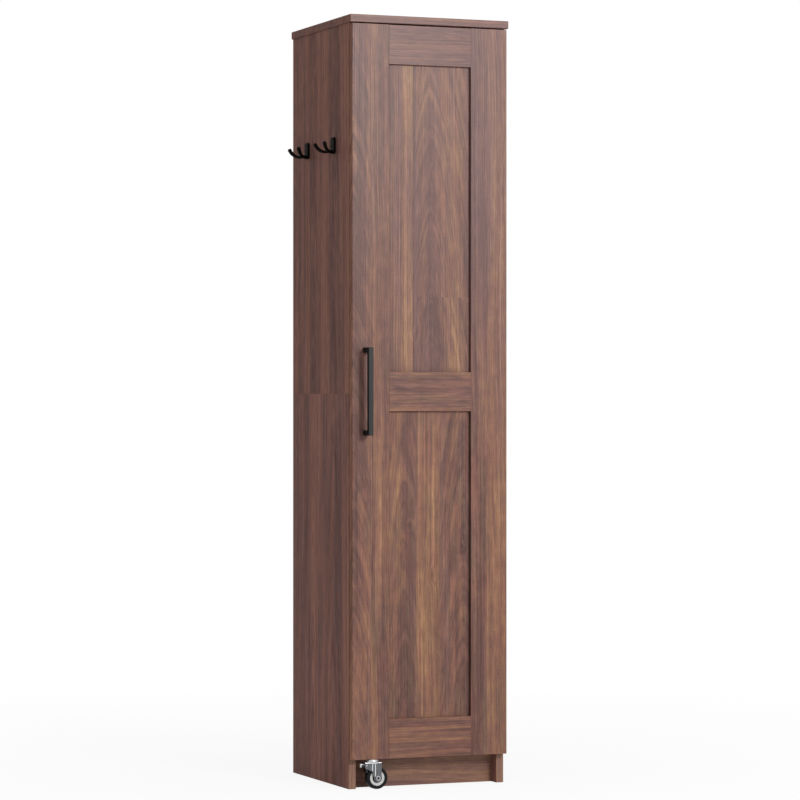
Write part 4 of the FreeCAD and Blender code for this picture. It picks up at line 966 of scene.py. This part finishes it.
def make_bolt(finish):
    """The axle bolt, with a round dish in its head."""
    node = "caster_axle_bolt"
    low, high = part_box(node)
    place = (low + high) / 2
    place.y = low.y
    shape = solid_of(node)
    head = [face for face in shape.faces if face.calc_center_median().y < low.y + PLANE]
    bmesh.ops.delete(shape, geom=head, context="FACES")
    mouth = open_edges(shape)
    turn = Matrix.Translation(place) @ Matrix.Rotation(math.radians(90), 4, "X")
    circle = bmesh.ops.create_circle(shape, cap_ends=False, radius=DISH_RADIUS, segments=ROUND_STEPS,
                                     matrix=turn)
    rim = edges_among(shape, circle["verts"])
    bmesh.ops.bridge_loops(shape, edges=mouth + rim)
    floor = new_verts(bmesh.ops.extrude_edge_only(shape, edges=rim))
    bmesh.ops.scale(shape, verts=floor, vec=(DISH_FLOOR, 1, DISH_FLOOR), space=Matrix.Translation(-place))
    bmesh.ops.translate(shape, verts=floor, vec=(0, DISH_DEPTH, 0))
    bmesh.ops.contextual_create(shape, geom=open_edges(shape))
    make_piece(node + "_smooth", shape, node, finish, sharp=40.0)


def make_details(finishes):
    """Every new piece."""
    zinc = finishes["zinc_plate"]
    put_screws("hook_screws", finishes["black_hook"], X, -1, FLUSH_HEAD)
    put_screws("hinge_plate_screws", zinc, X, 0)
    put_screws("tie_screws", zinc, X, 0, FLUSH_HEAD)
    put_screws("catch_screws", zinc, X, 0)
    put_screws("handle_screws", zinc, Y, 1)
    put_screws("strike_screw", zinc, Y, 1, FLUSH_HEAD)
    make_wheel(finishes)
    make_bumpers(finishes["clear_bumper"])
    for node in ("hook_front", "hook_rear"):
        smooth_copy(node, finishes["black_hook"], sharp=50.0)
    smooth_copy("caster_stem", zinc)
    make_bolt(finishes["dished_head"])
    smooth_copy("caster_brake_lever", finishes["pressed_lever"])
    for node in ("hinge_cups", "hinge_arms", "shelf_pins"):
        smooth_copy(node, finishes["nickel_plate"])


# Floor, light and camera

def make_floor():
    """A wide white floor that keeps a pale shadow of the object and runs out into the white room."""
    shape = bmesh.new()
    bmesh.ops.create_grid(shape, x_segments=1, y_segments=1, size=FLOOR_SIZE)
    floor = put_mesh("studio_floor", shape)
    finish = Finish("white_floor")
    finish.set(Base_Color=FLOOR_COLOUR, Roughness=FLOOR_ROUGHNESS, Specular_IOR_Level=FLOOR_GLOSS)
    glow = finish.node("ShaderNodeEmission", None, {"Color": WHITE, "Strength": 1.0})
    x, y, z = finish.axes()
    reach = (x * x + y * y) ** 0.5
    share = seen_directly(finish) * finish.stretch(reach, FLOOR_NEAR, FLOOR_FAR, FLOOR_GLOW, 1.0)
    plain = Wire(finish, finish.shader.outputs[0])
    blend = finish.node("ShaderNodeMixShader", None, {0: share, 1: plain, 2: glow})
    finish.fill(finish.output, {"Surface": blend})
    paint(floor, finish.material)


def seen_directly(finish):
    """One for the camera and for what shows in gloss and glass, else nought."""
    rays = [finish.node("ShaderNodeLightPath", None, None, kind)
            for kind in ("Is Camera Ray", "Is Glossy Ray", "Is Transmission Ray")]
    return (rays[0] + rays[1] + rays[2]) > 0.5


class RoomLight(Finish):
    """The world's shader, an even light that is white where it is seen."""

    def __init__(self):
        world = bpy.data.worlds.new("white_room")
        world.use_nodes = True
        bpy.context.scene.world = world
        self.tree = world.node_tree
        self.shader = next(n for n in self.tree.nodes if n.type == "BACKGROUND")
        self.set(Color=WHITE, Strength=seen_directly(self) * (1 - ROOM_LIGHT) + ROOM_LIGHT)


def make_lights():
    """The even room and its one lamp."""
    RoomLight()
    lamp = bpy.data.lights.new("front_lamp", "AREA")
    lamp.shape = "DISK"
    lamp.size = LAMP_SIZE
    lamp.energy = LAMP_POWER
    holder = bpy.data.objects.new("front_lamp", lamp)
    bpy.context.scene.collection.objects.link(holder)
    reach = LAMP_DISTANCE * math.cos(LAMP_ELEVATION)
    away = Vector((reach * math.sin(LAMP_AZIMUTH), -reach * math.cos(LAMP_AZIMUTH),
                   LAMP_DISTANCE * math.sin(LAMP_ELEVATION)))
    holder.location = Vector(LAMP_TARGET) + away
    holder.rotation_euler = away.to_track_quat("Z", "Y").to_euler()
    holder.visible_camera = False


def make_camera():
    """The level camera that the render is seen through."""
    data = bpy.data.cameras.new("camera")
    data.lens = CAMERA_LENS
    data.sensor_width = CAMERA_FILM
    data.shift_y = CAMERA_SHIFT_UP
    data.clip_end = CAMERA_REACH
    camera = bpy.data.objects.new("camera", data)
    camera.location = CAMERA_PLACE
    camera.rotation_euler = (math.radians(90), 0, CAMERA_YAW)
    bpy.context.scene.collection.objects.link(camera)
    bpy.context.scene.camera = camera


bpy.context.scene.view_settings.view_transform = "Standard"
make_camera()
make_lights()
make_floor()
paint_walnut()
make_details(paint_fittings())
